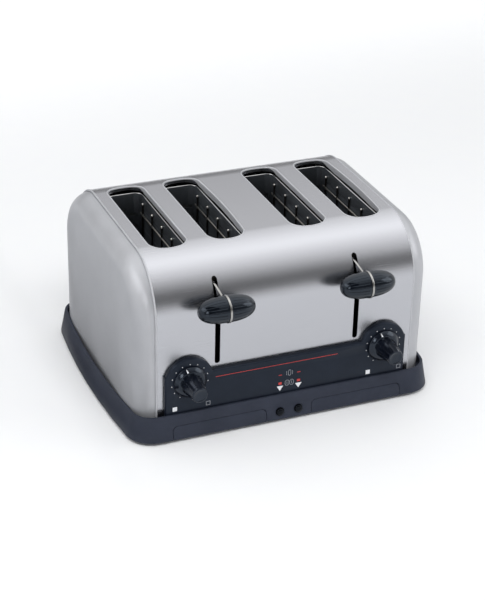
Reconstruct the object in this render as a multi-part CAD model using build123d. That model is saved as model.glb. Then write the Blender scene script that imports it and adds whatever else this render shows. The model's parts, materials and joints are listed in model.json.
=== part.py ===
from build123d import *
import math
import os

# All sizes are in millimetres, +Z is up, +Y points to the back and +X to the right as seen from the front.
# Until the last step everything is placed about the middle of the base, with z = 0 on the table.

# Shared clearances
overrun = 2.0               # how far a cutting solid reaches past the face that it cuts
running_gap = 0.05          # radial play of a shaft or rod in its hole
slide_gap = 0.4             # play round a part that slides or presses in
seam_gap = 0.3              # play between fixed sheet and moulded parts
hole_sides = 16
round_flats = 6             # flats that make each round of the base's outline

# Bread openings in the cover
slot_width = 36.3
slot_length = 137.2
slot_end_rise = 5.0         # crown of the rounded ends
slot_corner = 13.0
slot_flange = 5.0
slot_bow = 3.0              # swell of the right-hand side of each pair
slot_bow_inset = 1.1
slot_margin = 11.75         # between the outer openings and the ends of the cover
pair_pitch = 55.4           # between the two openings of a pair
pair_spacing = 135.4        # between the two pairs

# Folded cover
body_height = 165.0         # top of the cover above the underside of the base
cover_bend = 52.5
sheet = 1.0
bead_width = 1.6
bead_rise = 0.6
cover_length = pair_spacing + pair_pitch + slot_width + 2 * slot_margin

# Toast wells, each a little smaller than its opening
well_side_inset = 1.65
well_end_inset = 3.6
well_sheet = 0.6
well_corner = 7.0
corner_flats = 2            # bends that make each corner of a well
well_drop = 7.5             # rim below the top of the cover
well_bottom_height = 21.0
well_lip = 1.2
window_end = 7.0            # sheet left at each end of the side windows
window_low = 31.0
window_drop = 20.0
vent_length = 8.0
vent_width = 3.2
vent_upper_drop = 29.4
vent_lower_drop = 41.6
vent_offset = 10.0
well_width = slot_width - 2 * well_side_inset
well_length = slot_length - 2 * well_end_inset
well_rim_height = body_height - well_drop
window_length = well_length - 2 * window_end
window_high = body_height - window_drop
vent_upper_height = body_height - vent_upper_drop
vent_lower_height = body_height - vent_lower_drop
well_end = well_length / 2 + well_sheet

# Heater cards
card_thickness = 1.0
card_end_gap = 3.0
card_low = 25.0
card_drop = 16.0
ribbon_count = 4
ribbon_width = 2.2
ribbon_thickness = 0.3
ribbon_end = 6.0
card_length = well_length - 2 * card_end_gap
card_high = body_height - card_drop
ribbon_length = card_length - 2 * ribbon_end

# Bread guards
guard_wire = 1.8
wire_sides = 4
guard_inset = 1.2           # wire centre from the wall of the well
guard_end = 11.8            # outer upright from the end of the well
guard_uprights = 5
guard_low = 23.0
guard_drop = 13.5
guard_rail_low = 29.0
guard_rail_drop = 26.0
guard_end_gap = 1.1
guard_offset = well_width / 2 - guard_inset
guard_pitch = (well_length - 2 * guard_end) / (guard_uprights - 1)
guard_tip = body_height - guard_drop
guard_rail_heights = (guard_rail_low, body_height - guard_rail_drop)

# Bulkheads
bulkhead_sheet = 1.0
bulkhead_side_gap = 1.3
bulkhead_drop = 10.0
leg_width = 8.0
middle_leg_width = 36.0
leg_foot = 12.0
tray_headroom = 14.0
rack_slot_width = 5.0
rack_slot_gap = 3.0
bulkhead_width = cover_length - 2 * bulkhead_side_gap
bulkhead_top = body_height - bulkhead_drop
bulkhead_front = well_end + bulkhead_sheet

# Lift carriages and bread racks
carriage_stand = 13.4       # between the front bulkhead and the rear face of the carriage
carriage_sheet = 2.0
carriage_overhang = 6.0
carriage_drop = 26.0
carriage_height = 50.0
carriage_window_share = 0.5
rack_lift = 8.0             # rack's top above the foot of the carriage
rack_height = 8.0
rack_low = 37.0             # rack's top with the lever pressed down
rack_sheet = 1.2
rack_end_gap = 3.0
rack_tab = 8.0
finger_count = 5
finger_end = 15.0
finger_side_gap = 5.5
carriage_face = bulkhead_front + carriage_stand
carriage_high = body_height - carriage_drop
carriage_low = carriage_high - carriage_height
rack_top = carriage_low + rack_lift
rack_end = well_length / 2 - rack_end_gap
finger_pitch = (well_length - 2 * finger_end) / (finger_count - 1)
finger_length = well_width - 2 * finger_side_gap
lever_travel = rack_top - rack_low

# Guide rods and lift springs
rod_diameter = 6.0
rod_stand = 10.0            # in front of the rear face of the carriage
tab_thickness = 1.5
tab_width = 20.0
tab_overhang = 6.0
tab_low = 15.0
tab_drop = 20.0
boss_width = 16.0
boss_overhang = 7.0
boss_height = 23.0
stop_gap = 0.3
spring_bore = 7.2
spring_diameter = 10.8
spring_sides = 16
rod_setback = carriage_face + rod_stand
tab_reach = rod_setback + tab_overhang
tab_high = body_height - tab_drop
boss_front = rod_setback + boss_overhang
lever_room = 15.0           # between the carriage boss and the face of the cover
half_cover = boss_front + lever_room

# Base tray
end_ledge = 30.7            # how far the base stands out past each end of the cover
front_ledge = 11.5
base_height = 23.5
base_draft = 4.3            # how far the rim stands in from the foot of the wall
end_bow = 8.5               # how far the ends swell out between their corners
base_corner = 25.0
base_wall = 2.2
base_floor = 2.4
shelf_height = 16.0         # top of the inner shelf above the underside
shelf_thickness = 2.0
shelf_width = 10.0
base_length = cover_length + 2 * end_ledge
base_depth = 2 * (half_cover + front_ledge)

# Rubber feet
foot_stand = 3.0
foot_diameter = 18.0
foot_toe_diameter = 15.0
foot_sides = 16
foot_end_inset = 38.0
foot_front_inset = 28.5
foot_span_x = base_length - 2 * foot_end_inset
foot_span_y = base_depth - 2 * foot_front_inset

# Lever slots in the cover
lever_slot_width = 5.0
lever_slot_low = 65.0
lever_slot_drop = 18.5
lever_slot_high = body_height - lever_slot_drop

# End caps
cap_ledge = 10.1            # how far the base stands out past the flat of the cap
cap_wall = 1.5
cap_tuck = 5.0              # how far the cap slides into the cover
cap_edge = 20.0
cap_turn = 79.0             # degrees that the edge turns through before the shallow swell begins
cap_flat_bend = 4.0         # shoulder radius of the flat in the middle of the cap
cap_edge_steps = 5
cap_swell_steps = 2
inner_edge_steps = 2
inner_swell_steps = 1
shoulder_steps = 8
cap_reach = base_length / 2 - cap_ledge

# Control panel
panel_thickness = 4.8
panel_strip_top = 61.0
panel_arch_radius = 23.0
panel_edge = 1.0
dial_height = 54.3

# Dials
shaft_diameter = 6.0
knob_skirt_diameter = 31.0
knob_skirt_lip = 1.5
knob_cone_diameter = 24.0
knob_cone_height = 4.2
knob_grip_diameter = 21.0
knob_tip_diameter = 13.8
knob_length = 25.5
knob_stand = 0.6            # gap between the skirt and the panel
knob_sides = 30
knob_flutes = 10
flute_depth_share = 0.11    # of the grip's radius
knob_crown = 0.8
shaft_in_knob = 19.0

# Browning controls
control_width = 17.0
control_depth = 11.0
bush_diameter = 9.0
lug_count = 3
lug_width = 2.4
lug_length = 5.0
lug_thickness = 0.8
lug_pitch = 5.0

# Push buttons and their switches
button_diameter = 7.5
button_height = 7.4
button_pitch = 18.3
button_stand = 2.4
button_dome = 1.2
button_sides = 16
button_travel = 2.0
button_flange_width = 9.4
button_flange = 1.2
button_stem_width = 4.0
switch_width = 12.0
switch_depth = 12.0
switch_height = 10.0
switch_setback = 11.5       # from the foot of the base wall to the face of the switch

# Crumb trays
gate_gap = 0.7
gate_height = 13.0
gate_corner = 5.0
gate_depth = 5.5
pan_sheet = 0.8
pan_side_gap = 1.5
pan_height = 8.0
pan_lift = 0.3
pan_back_gap = 25.0
runner_width = 1.2
runner_height = 6.0
gate_width = min(pair_pitch + slot_width, pair_spacing - middle_leg_width) - gate_gap
pan_length = base_depth - pan_back_gap

# Levers
lever_sheet = 2.0
lever_arm_fall = 24.0       # arm's top below the top of the cover
lever_arm_height = 12.0
lever_arm_drop = 5.5
lever_rim = 0.3             # how far the plate stands out of the handle halves
lever_round_sides = 28
lever_flange_width = 16.0
lever_flange_height = 16.0
handle_stand = 19.5         # handle's middle in front of the cover
handle_drop = 11.3          # handle's middle below the arm's top
handle_radius = 12.3
handle_half_length = 25.6
handle_ribs = 14
handle_groove = 0.9
handle_ring_shares = (0, 0.4, 0.7, 0.9, 0.98)
peg_width = 6.0
peg_length = 9.0
lever_arm_top = body_height - lever_arm_fall
handle_height = lever_arm_top - handle_drop
handle_setback = half_cover + handle_stand

# Latch magnets
magnet_width = 12.0
magnet_depth = 14.0
magnet_offset = 22.0
magnet_gap = 0.5
coil_width = 10.0

# Control board
board_width = 60.0
board_low = 57.0
board_drop = 38.0
board_thickness = 1.6
board_stand = 7.4
spacer_width = 6.0
spacer_inset = 6.0
relay_width = 18.0
relay_height = 15.0
relay_depth = 3.5
board_high = body_height - board_drop

# Cord grommet
grommet_flange_diameter = 10.4
grommet_neck_diameter = 9.0
grommet_bore = 7.2
grommet_flange = 0.7
grommet_inset = 46.0
grommet_height = 9.0
grommet_offset = base_length / 2 - grommet_inset

# Base screws
screw_head_diameter = 6.8
screw_head = 1.6
screw_head_sides = 6
screw_shank_diameter = 3.0
screw_shank_sides = 8
screw_length = 6.0

# Levels above the table and places worked out from the sizes above
base_bottom = foot_stand
rim_top = base_bottom + base_height
floor_top = base_bottom + base_floor
shelf_top = base_bottom + shelf_height
cover_top = base_bottom + body_height
panel_front = half_cover + panel_thickness
lever_x = pair_spacing / 2
slot_offsets = [side * lever_x + hand * pair_pitch / 2 for side in (-1, 1) for hand in (-1, 1)]
dial_x = lever_x + pair_pitch / 2
dial_z = base_bottom + dial_height
panel_width = 2 * (dial_x + panel_arch_radius)
button_x = button_pitch / 2
button_z = base_bottom + button_height
handle_z = base_bottom + handle_height
rack_z = base_bottom + rack_top
tab_low_z = base_bottom + tab_low
tab_high_z = base_bottom + tab_high
boss_top = tab_high_z - stop_gap
boss_bottom = boss_top - boss_height
leg_x = bulkhead_width / 2 - leg_width / 2
screw_y = bulkhead_front + leg_foot / 2
front_reach = handle_setback + handle_radius + lever_rim
frame_shift = (front_reach - base_depth / 2) / 2
sides = {"left": -1, "right": 1}


def block(low, high):
    """Box between two corners."""
    size = [top - bottom for bottom, top in zip(low, high)]
    return Pos(*low) * Box(*size, align=(Align.MIN, Align.MIN, Align.MIN))


def rod_along_y(diameter, x, z, start, end):
    """Round bar along Y from start to end."""
    return Pos(x, start, z) * Rot(-90, 0, 0) * Cylinder(
        diameter / 2, end - start, align=(Align.CENTER, Align.CENTER, Align.MIN))


def rod_along_z(diameter, x, y, start, end):
    """Round bar along Z from start to end."""
    return Pos(x, y, start) * Cylinder(
        diameter / 2, end - start, align=(Align.CENTER, Align.CENTER, Align.MIN))


def bar_along_z(diameter, count, start, end):
    """Bar of regular section with a count of sides, about the Z axis."""
    return Pos(0, 0, start) * extrude(RegularPolygon(diameter / 2, count), amount=end - start)


def hole_along_y(diameter, x, z, start, end):
    """Hole along Y for a fixed bush, made of flats that touch the given round."""
    outline = RegularPolygon(diameter / 2 + seam_gap, hole_sides, major_radius=False)
    return Pos(x, end, z) * Rot(90, 0, 0) * extrude(outline, amount=end - start)


def hole_along_z(diameter, x, y, start, end):
    """Hole along Z for a fixed pin, made of flats that touch the given round."""
    outline = RegularPolygon(diameter / 2 + running_gap, hole_sides, major_radius=False)
    return Pos(x, y, start) * extrude(outline, amount=end - start)


def faceted(rings):
    """Solid of flat facets between rings of points, each ring with as many points as the next."""
    faces = [Face(Wire.make_polygon(rings[0])), Face(Wire.make_polygon(rings[-1]))]
    for near, far in zip(rings, rings[1:]):
        for index in range(len(near)):
            faces.append(Face(Wire.make_polygon([near[index - 1], near[index], far[index]])))
            faces.append(Face(Wire.make_polygon([near[index - 1], far[index], far[index - 1]])))
    return Solid(Shell(faces))


def turned(profile, count):
    """Faceted solid turned about the Z axis from a profile of radii and heights."""
    rings = []
    for radius, height in profile:
        turns = [2 * math.pi * step / count for step in range(count)]
        rings.append([(radius * math.cos(turn), radius * math.sin(turn), height) for turn in turns])
    return faceted(rings)


# Base


def bowed_outline(length, depth, bow, corner):
    """Rectangle with swelling ends and rounded corners."""
    half_x = length / 2
    half_y = depth / 2
    edges = [
        Line((bow - half_x, -half_y), (half_x - bow, -half_y)),
        ThreePointArc((half_x - bow, -half_y), (half_x, 0), (half_x - bow, half_y)),
        Line((half_x - bow, half_y), (bow - half_x, half_y)),
        ThreePointArc((bow - half_x, half_y), (-half_x, 0), (bow - half_x, -half_y)),
    ]
    face = make_face(edges)
    return fillet(face.vertices(), corner)


def base_ring(inset, level):
    """Points round the drafted base at one level, with its walls moved in by an inset."""
    slope = inset + base_draft * (level - base_bottom) / base_height
    outline = bowed_outline(base_length - 2 * slope, base_depth - 2 * slope, end_bow, base_corner - slope)
    ring = []
    for edge in outline.face().outer_wire().order_edges():
        count = 1 if edge.geom_type == GeomType.LINE else round_flats
        points = [edge.position_at(step / count) for step in range(count)]
        ring += [(point.X, point.Y, level) for point in points]
    return sorted(ring, key=lambda point: math.atan2(point[1], point[0]))


def base_form(inset, low, high):
    """Drafted form of the base between two levels, with its walls moved in by an inset."""
    return faceted([base_ring(inset, low), base_ring(inset, high)])


def gate(side, gap):
    """Upright outline of a crumb tray front, with rounded top corners, as a bar along Y."""
    width = gate_width - 2 * gap
    height = gate_height - gap
    outline = Rectangle(width, height, align=(Align.CENTER, Align.MIN))
    top_corners = outline.vertices().sort_by(Axis.Y)[-2:]
    outline = fillet(top_corners, gate_corner)
    front = base_depth / 2 + overrun
    back = base_depth / 2 - gate_depth + gap
    plane = Plane(origin=(side * lever_x, -front, base_bottom), x_dir=(1, 0, 0), z_dir=(0, -1, 0))
    return extrude(plane * outline, amount=back - front)


def wall_front(height):
    """Distance of the base wall's outer face from the middle, at a height above the underside."""
    return base_depth / 2 - base_draft * height / base_height


def leg_places():
    """Middles of the outer bulkhead legs, where the base screws go."""
    return [(x, y) for y in (-screw_y, screw_y) for x in (-leg_x, leg_x)]


def foot_places():
    """Middles of the rubber feet."""
    return [(x * foot_span_x / 2, y * foot_span_y / 2) for x in (-1, 1) for y in (-1, 1)]


def wall_plane(x, height):
    """Plane on the back wall of the base, square to its slope."""
    origin = (x, wall_front(height), base_bottom + height)
    return Plane(origin=origin, x_dir=(1, 0, 0), z_dir=(0, base_height, base_draft))


def base_tray():
    """Moulded base with a rim, an inner shelf, tray gates, runners and holes."""
    tray = base_form(0, base_bottom, rim_top)
    tray -= base_form(base_wall, shelf_top, rim_top + overrun)
    tray -= base_form(base_wall, floor_top, shelf_top - shelf_thickness)
    open_x = base_length / 2 - end_bow - base_draft - base_wall - shelf_width
    open_y = base_depth / 2 - base_draft - base_wall - shelf_width
    tray -= block((-open_x, -open_y, floor_top), (open_x, open_y, shelf_top + overrun))
    for side in sides.values():
        tray -= gate(side, 0)
        for edge in (-1, 1):
            x = side * lever_x + edge * (gate_width + runner_width) / 2
            back = pan_length - base_depth / 2
            tray += block((x - runner_width / 2, gate_depth - base_depth / 2, base_bottom),
                          (x + runner_width / 2, back, floor_top + runner_height))
        tray -= rod_along_y(button_diameter + 2 * slide_gap, side * button_x, button_z,
                            -base_depth / 2 - overrun, switch_setback - base_depth / 2)
    for x, y in leg_places():
        tray -= hole_along_z(screw_shank_diameter, x, y, base_bottom - overrun, floor_top + overrun)
    hole = Cylinder(grommet_neck_diameter / 2 + running_gap, 2 * (base_wall + overrun))
    return tray - wall_plane(grommet_offset, grommet_height) * hole


def rubber_feet():
    """Four tapered feet under the floor."""
    foot = turned([(foot_toe_diameter / 2, 0), (foot_diameter / 2, foot_stand)], foot_sides)
    return [Pos(x, y, 0) * foot for x, y in foot_places()]


def base_screws():
    """Hexagon-headed screws from below that hold the bulkhead legs."""
    head = bar_along_z(screw_head_diameter, screw_head_sides, base_bottom - screw_head, base_bottom)
    shank = bar_along_z(screw_shank_diameter, screw_shank_sides, base_bottom, base_bottom + screw_length)
    return [Pos(x, y, 0) * (head + shank) for x, y in leg_places()]


def cord_grommet():
    """Flanged bush in the back wall of the base."""
    neck = grommet_neck_diameter / 2
    flange = grommet_flange_diameter / 2
    bush = turned([(neck, -base_wall), (neck, 0)], hole_sides)
    bush += turned([(flange, 0), (flange, grommet_flange)], hole_sides)
    bush -= bar_along_z(grommet_bore, hole_sides, -base_wall - overrun, grommet_flange + overrun)
    return wall_plane(grommet_offset, grommet_height) * bush


# Cover, end caps and panel


def body_outline(inset, bottom):
    """Side view of the body, flat front and back with rounded shoulders, moved in by an inset."""
    half = half_cover - inset
    top = cover_top - inset
    bend = cover_bend - inset
    corner = bend * math.sqrt(2) / 2
    edges = [
        Line((-half, bottom), (-half, top - bend)),
        ThreePointArc((-half, top - bend), (bend - half - corner, top - bend + corner), (bend - half, top)),
        Line((bend - half, top), (half - bend, top)),
        ThreePointArc((half - bend, top), (half - bend + corner, top - bend + corner), (half, top - bend)),
        Line((half, top - bend), (half, bottom)),
        Line((half, bottom), (-half, bottom)),
    ]
    return make_face(edges)


def body_form(inset, bottom, start, end):
    """Body outline drawn along X from start to end."""
    return extrude(Plane.YZ.offset(start) * body_outline(inset, bottom), amount=end - start)


def bread_outline(grow, bowed):
    """Bread opening with crowned ends; the right-hand side of a bowed one swells."""
    left = slot_width / 2 + grow
    right = left - slot_bow_inset if bowed else left
    tip = slot_length / 2 + grow
    flank = tip - slot_end_rise
    if bowed:
        right_side = ThreePointArc((right, -flank), (right + slot_bow, 0), (right, flank))
    else:
        right_side = Line((right, -flank), (right, flank))
    edges = [
        Line((-left, flank), (-left, -flank)),
        ThreePointArc((-left, -flank), (0, -tip), (right, -flank)),
        right_side,
        ThreePointArc((right, flank), (0, tip), (-left, flank)),
    ]
    face = make_face(edges)
    return fillet(face.vertices(), slot_corner + grow)


def bread_form(x, bowed, grow, low, high):
    """Bread opening drawn upright between two levels."""
    return Pos(x, 0, low) * extrude(bread_outline(grow, bowed), amount=high - low)


def lever_slot(side):
    """Upright slot with round ends through the front of the cover."""
    length = lever_slot_high - lever_slot_low
    middle = base_bottom + (lever_slot_high + lever_slot_low) / 2
    plane = Plane(origin=(side * lever_x, -half_cover - overrun, middle), x_dir=(0, 0, 1), z_dir=(0, 1, 0))
    outline = SlotOverall(length, lever_slot_width)
    return extrude(plane * outline, amount=half_cover - rod_setback + overrun)


def wrap_cover():
    """One sheet folded over front, top and back, with flanged bread openings and beaded ends."""
    half = cover_length / 2
    cover = body_form(0, shelf_top, -half, half)
    for start in (-half, half - bead_width):
        cover += body_form(-bead_rise, shelf_top, start, start + bead_width)
    cover -= body_form(sheet, shelf_top - overrun, -half - overrun, half + overrun)
    skin = body_form(0, shelf_top, -half, half)
    for index, x in enumerate(slot_offsets):
        bowed = index % 2 == 1
        collar = bread_form(x, bowed, sheet, cover_top - slot_flange, cover_top)
        cover += collar & skin
        cover -= bread_form(x, bowed, 0, cover_top - slot_flange - overrun, cover_top + overrun)
    for side in sides.values():
        cover -= lever_slot(side)
        cover -= hole_along_y(bush_diameter, side * dial_x, dial_z,
                              -half_cover - overrun, -half_cover + sheet + overrun)
    return cover


def cap_ring(x, depth, bottom):
    """Body outline inside the cover, moved in by a depth, as points at one place along X."""
    half = half_cover - sheet - seam_gap - depth
    top = cover_top - sheet - seam_gap - depth
    bend = cover_bend - sheet - seam_gap - depth
    turns = [math.pi / 2 * step / shoulder_steps for step in range(shoulder_steps + 1)]
    right = [(half - bend + bend * math.cos(turn), top - bend + bend * math.sin(turn)) for turn in turns]
    left = [(-y, z) for y, z in reversed(right)]
    return [(x, y, z) for y, z in [(half, bottom)] + right + left + [(-half, bottom)]]


def cap_form(wall, start, bottom, edge_steps, swell_steps):
    """Right end cap as a solid: a round edge that runs into a shallow swell and a flat."""
    turn = math.radians(cap_turn)
    middle = cover_bend - sheet - seam_gap - cap_flat_bend
    swell = (middle - cap_edge) / math.cos(turn) + cap_edge
    edge_x = cap_reach - swell + (swell - cap_edge) * math.sin(turn)
    rings = [cap_ring(start, wall, bottom)]
    for step in range(edge_steps + 1):
        angle = turn * step / edge_steps
        radius = cap_edge - wall
        depth = cap_edge - radius * math.cos(angle)
        rings.append(cap_ring(edge_x + radius * math.sin(angle), depth, bottom))
    for step in range(1, swell_steps + 1):
        angle = turn + (math.pi / 2 - turn) * step / swell_steps
        radius = swell - wall
        depth = middle - radius * math.cos(angle)
        rings.append(cap_ring(cap_reach - swell + radius * math.sin(angle), depth, bottom))
    return faceted(rings)


def end_cap(side):
    """Pressed end shell that slides into the end of the cover."""
    start = cover_length / 2 - cap_tuck
    shell = cap_form(0, start, shelf_top, cap_edge_steps, cap_swell_steps)
    shell -= cap_form(cap_wall, start - overrun, shelf_top - overrun, inner_edge_steps, inner_swell_steps)
    return shell if side > 0 else mirror(shell, about=Plane.YZ)


def control_panel():
    """Flat moulding with an arch round each dial."""
    strip_height = panel_strip_top + base_bottom - shelf_top
    outline = Pos(0, shelf_top) * Rectangle(panel_width, strip_height, align=(Align.CENTER, Align.MIN))
    for side in sides.values():
        outline += Pos(side * (panel_width / 2 - panel_arch_radius), dial_z) * Circle(panel_arch_radius)
    plane = Plane(origin=(0, -half_cover, 0), x_dir=(1, 0, 0), z_dir=(0, -1, 0))
    panel = extrude(plane * outline, amount=panel_thickness)
    front = panel.faces().sort_by(Axis.Y)[0]
    panel = chamfer(front.edges(), panel_edge)
    for side in sides.values():
        panel -= hole_along_y(bush_diameter, side * dial_x, dial_z,
                              -panel_front - overrun, -half_cover + overrun)
    return panel


# Dials, buttons and trays


def fluted_ring(radius, height):
    """Points round a grip, alternately on a ridge and in a flute."""
    ring = []
    for step in range(2 * knob_flutes):
        turn = math.pi * step / knob_flutes
        reach = radius * (1 - flute_depth_share * (step % 2))
        ring.append((reach * math.cos(turn), reach * math.sin(turn), height))
    return ring


def dial_knob(side):
    """Skirted knob with a fluted, tapering grip."""
    skirt = knob_skirt_diameter / 2
    tip = knob_tip_diameter / 2
    cone = knob_cone_diameter / 2
    knob = turned([(skirt, 0), (skirt, knob_skirt_lip), (cone, knob_cone_height)], knob_sides)
    knob += faceted([
        fluted_ring(knob_grip_diameter / 2, knob_cone_height),
        fluted_ring(tip, knob_length - knob_crown),
        fluted_ring(tip - knob_crown, knob_length),
    ])
    knob -= hole_along_z(shaft_diameter, 0, 0, -overrun, shaft_in_knob)
    return Pos(side * dial_x, -panel_front - knob_stand, dial_z) * Rot(90, 0, 0) * knob


def dial_shaft(side):
    """Shaft from the browning control into the knob."""
    return rod_along_y(shaft_diameter, side * dial_x, dial_z,
                       -panel_front - knob_stand - shaft_in_knob, -half_cover + sheet + control_depth)


def browning_control(side):
    """Control behind the cover, with a bush through cover and panel and solder lugs below."""
    x = side * dial_x
    half = control_width / 2
    front = -half_cover + sheet
    back = front + control_depth
    control = block((x - half, front, dial_z - half), (x + half, back, dial_z + half))
    bush = bar_along_z(bush_diameter, hole_sides, -front, panel_front)
    control += Pos(x, 0, dial_z) * Rot(90, 0, 0) * bush
    for place in range(lug_count):
        lug_x = x + (place - (lug_count - 1) / 2) * lug_pitch
        control += block((lug_x - lug_width / 2, back - lug_thickness, dial_z - half - lug_length),
                         (lug_x + lug_width / 2, back, dial_z - half))
    return control - rod_along_y(shaft_diameter + 2 * running_gap, x, dial_z,
                                 -panel_front - overrun, back + overrun)


def push_button(side):
    """Domed button with a retaining flange behind the wall and a stem into the switch."""
    x = side * button_x
    radius = button_diameter / 2
    flange = button_flange_width / 2
    stem = button_stem_width / 2
    tip = -wall_front(button_height) - button_stand
    seat = -wall_front(button_height + flange) + base_wall + seam_gap
    length = seat - tip
    shoulder = (radius - button_dome / 2, length - button_dome / 3)
    profile = [(radius, 0), (radius, length - button_dome), shoulder, (radius - button_dome, length)]
    button = Pos(x, seat, button_z) * Rot(90, 0, 0) * turned(profile, button_sides)
    button += block((x - flange, seat, button_z - flange),
                    (x + flange, seat + button_flange, button_z + flange))
    stem_end = switch_setback - base_depth / 2 + seam_gap
    return button + block((x - stem, seat, button_z - stem), (x + stem, stem_end, button_z + stem))


def button_switch(side):
    """Switch body on the base floor that takes the button's stem."""
    x = side * button_x
    front = switch_setback - base_depth / 2
    hole = button_stem_width / 2 + slide_gap
    body = block((x - switch_width / 2, front, floor_top),
                 (x + switch_width / 2, front + switch_depth, floor_top + switch_height))
    bottom = front + seam_gap + button_travel + slide_gap
    return body - block((x - hole, front - overrun, button_z - hole), (x + hole, bottom, button_z + hole))


def tray_front(side):
    """Front of a crumb tray, flush with the base wall."""
    return base_form(0, base_bottom, rim_top) & gate(side, slide_gap)


def tray_pan(side):
    """Open sheet pan behind the tray front."""
    x = side * lever_x
    half = gate_width / 2 - pan_side_gap
    front = gate_depth - slide_gap - base_depth / 2
    back = pan_length - base_depth / 2
    low = floor_top + pan_lift
    pan = block((x - half, front, low), (x + half, back, low + pan_height))
    pan -= block((x - half + pan_sheet, front + pan_sheet, low + pan_sheet),
                 (x + half - pan_sheet, back - pan_sheet, low + pan_height + overrun))
    return pan


# Wells, heaters and guards


def upright_slot(x, y, width, low, high, depth):
    """Rectangular slot through a wall that faces Y."""
    return block((x - width / 2, y - depth, low), (x + width / 2, y + depth, high))


def bent_outline(width, length, corner):
    """Rectangle whose corners are bent in equal flats."""
    points = []
    for quarter, (side_x, side_y) in enumerate(((1, 1), (-1, 1), (-1, -1), (1, -1))):
        for step in range(corner_flats + 1):
            turn = math.pi / 2 * (quarter + step / corner_flats)
            points.append((side_x * (width / 2 - corner) + corner * math.cos(turn),
                           side_y * (length / 2 - corner) + corner * math.sin(turn)))
    return make_face(Polyline(*points, close=True))


def rack_slot_levels():
    """Lowest and highest level of the slots that the bread racks run in."""
    return rack_z - rack_height - lever_travel - rack_slot_gap, rack_z + rack_slot_gap


def toast_well(x):
    """Sheet box round one slice, with a rim, side windows, a rack slot and vents."""
    low = base_bottom + well_bottom_height
    rim = base_bottom + well_rim_height
    wide = well_width + 2 * well_sheet
    long = well_length + 2 * well_sheet
    well = extrude(bent_outline(wide, long, well_corner), amount=rim - low)
    lip_outline = bent_outline(wide + 2 * well_lip, long + 2 * well_lip, well_corner + well_lip)
    well += Pos(0, 0, rim - low - well_lip) * extrude(lip_outline, amount=well_lip)
    bore = bent_outline(well_width, well_length, well_corner - well_sheet)
    well -= Pos(0, 0, -overrun) * extrude(bore, amount=rim - low + 2 * overrun)
    well = Pos(x, 0, low) * well
    well -= block((x - wide, -window_length / 2, base_bottom + window_low),
                  (x + wide, window_length / 2, base_bottom + window_high))
    slot_low, slot_high = rack_slot_levels()
    well -= upright_slot(x, -well_end, rack_slot_width, slot_low, slot_high, overrun)
    for height in (vent_upper_height, vent_lower_height):
        vent = base_bottom + height
        well -= upright_slot(x + vent_offset, well_end, vent_length,
                             vent - vent_width / 2, vent + vent_width / 2, overrun)
    vent = base_bottom + vent_upper_height + vent_width
    return well - upright_slot(x, well_end, vent_width,
                               vent - vent_length / 2, vent + vent_length / 2, overrun)


def heater_card(x, hand):
    """Mica card against the outside of a well wall, with flat ribbon rows facing the bread."""
    inner = well_width / 2 + well_sheet
    low = base_bottom + card_low
    high = base_bottom + card_high
    card = block((inner, -card_length / 2, low), (inner + card_thickness, card_length / 2, high))
    pitch = (window_high - window_low) / (ribbon_count + 1)
    for row in range(ribbon_count):
        z = base_bottom + window_low + pitch * (row + 1)
        card += block((inner - ribbon_thickness, -ribbon_length / 2, z - ribbon_width / 2),
                      (inner, ribbon_length / 2, z + ribbon_width / 2))
    card = card if hand > 0 else mirror(card, about=Plane.YZ)
    return Pos(x, 0, 0) * card


def bread_guard(x, hand):
    """Upright wires welded to two long wires, beside the bread."""
    guard_x = x + hand * guard_offset
    corner = well_corner - well_sheet
    across = guard_offset + guard_wire / 2 - well_width / 2 + corner
    reach = well_length / 2 - corner + math.sqrt(corner * corner - across * across) - guard_end_gap
    section = RegularPolygon(guard_wire / 2, wire_sides)
    upright = Pos(0, 0, base_bottom + guard_low) * extrude(section, amount=guard_tip - guard_low)
    rail = extrude(Plane.XZ * section, amount=reach, both=True)
    wires = [Pos(0, 0, base_bottom + height) * rail for height in guard_rail_heights]
    for place in range(guard_uprights):
        wires.append(Pos(0, (place - (guard_uprights - 1) / 2) * guard_pitch, 0) * upright)
    return Pos(guard_x, 0, 0) * wires[0].fuse(*wires[1:])


# Inner frame


def bulkhead_plate(front):
    """Plate on legs that holds the ends of the wells, with room for the crumb trays below."""
    outer = bulkhead_front if front else -well_end
    half = bulkhead_width / 2
    low = floor_top
    high = base_bottom + bulkhead_top
    plate = block((-half, -outer, low), (half, -outer + bulkhead_sheet, high))
    for side in sides.values():
        x_inner = side * middle_leg_width / 2
        x_outer = side * (half - leg_width)
        plate -= block((min(x_inner, x_outer), -outer - overrun, low - overrun),
                       (max(x_inner, x_outer), -outer + bulkhead_sheet + overrun,
                        base_bottom + tray_headroom))
    step = -1 if front else 1
    edge = step * well_end
    for x, y in leg_places():
        if y * step < 0:
            continue
        ends = sorted((edge, edge + step * (bulkhead_sheet + leg_foot)))
        plate += block((x - leg_width / 2, ends[0], low),
                       (x + leg_width / 2, ends[1], low + bulkhead_sheet))
        plate -= hole_along_z(screw_shank_diameter, x, y, low - overrun, low + bulkhead_sheet + overrun)
    return plate


def front_bulkhead():
    """Front plate with rack slots and the bent tabs that hold rods and magnets."""
    plate = bulkhead_plate(True)
    slot_low, slot_high = rack_slot_levels()
    for x in slot_offsets:
        plate -= upright_slot(x, -bulkhead_front, rack_slot_width, slot_low, slot_high, overrun)
    for side in sides.values():
        x = side * lever_x
        magnet_edge = x + side * (magnet_offset + magnet_width / 2)
        low_ends = sorted((x - side * tab_width / 2, magnet_edge))
        plate += block((low_ends[0], -tab_reach, tab_low_z),
                       (low_ends[1], -well_end, tab_low_z + tab_thickness))
        plate += block((x - tab_width / 2, -tab_reach, tab_high_z),
                       (x + tab_width / 2, -well_end, tab_high_z + tab_thickness))
        plate -= hole_along_z(rod_diameter, x, -rod_setback,
                              tab_low_z - overrun, tab_high_z + tab_thickness + overrun)
    return plate


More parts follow.
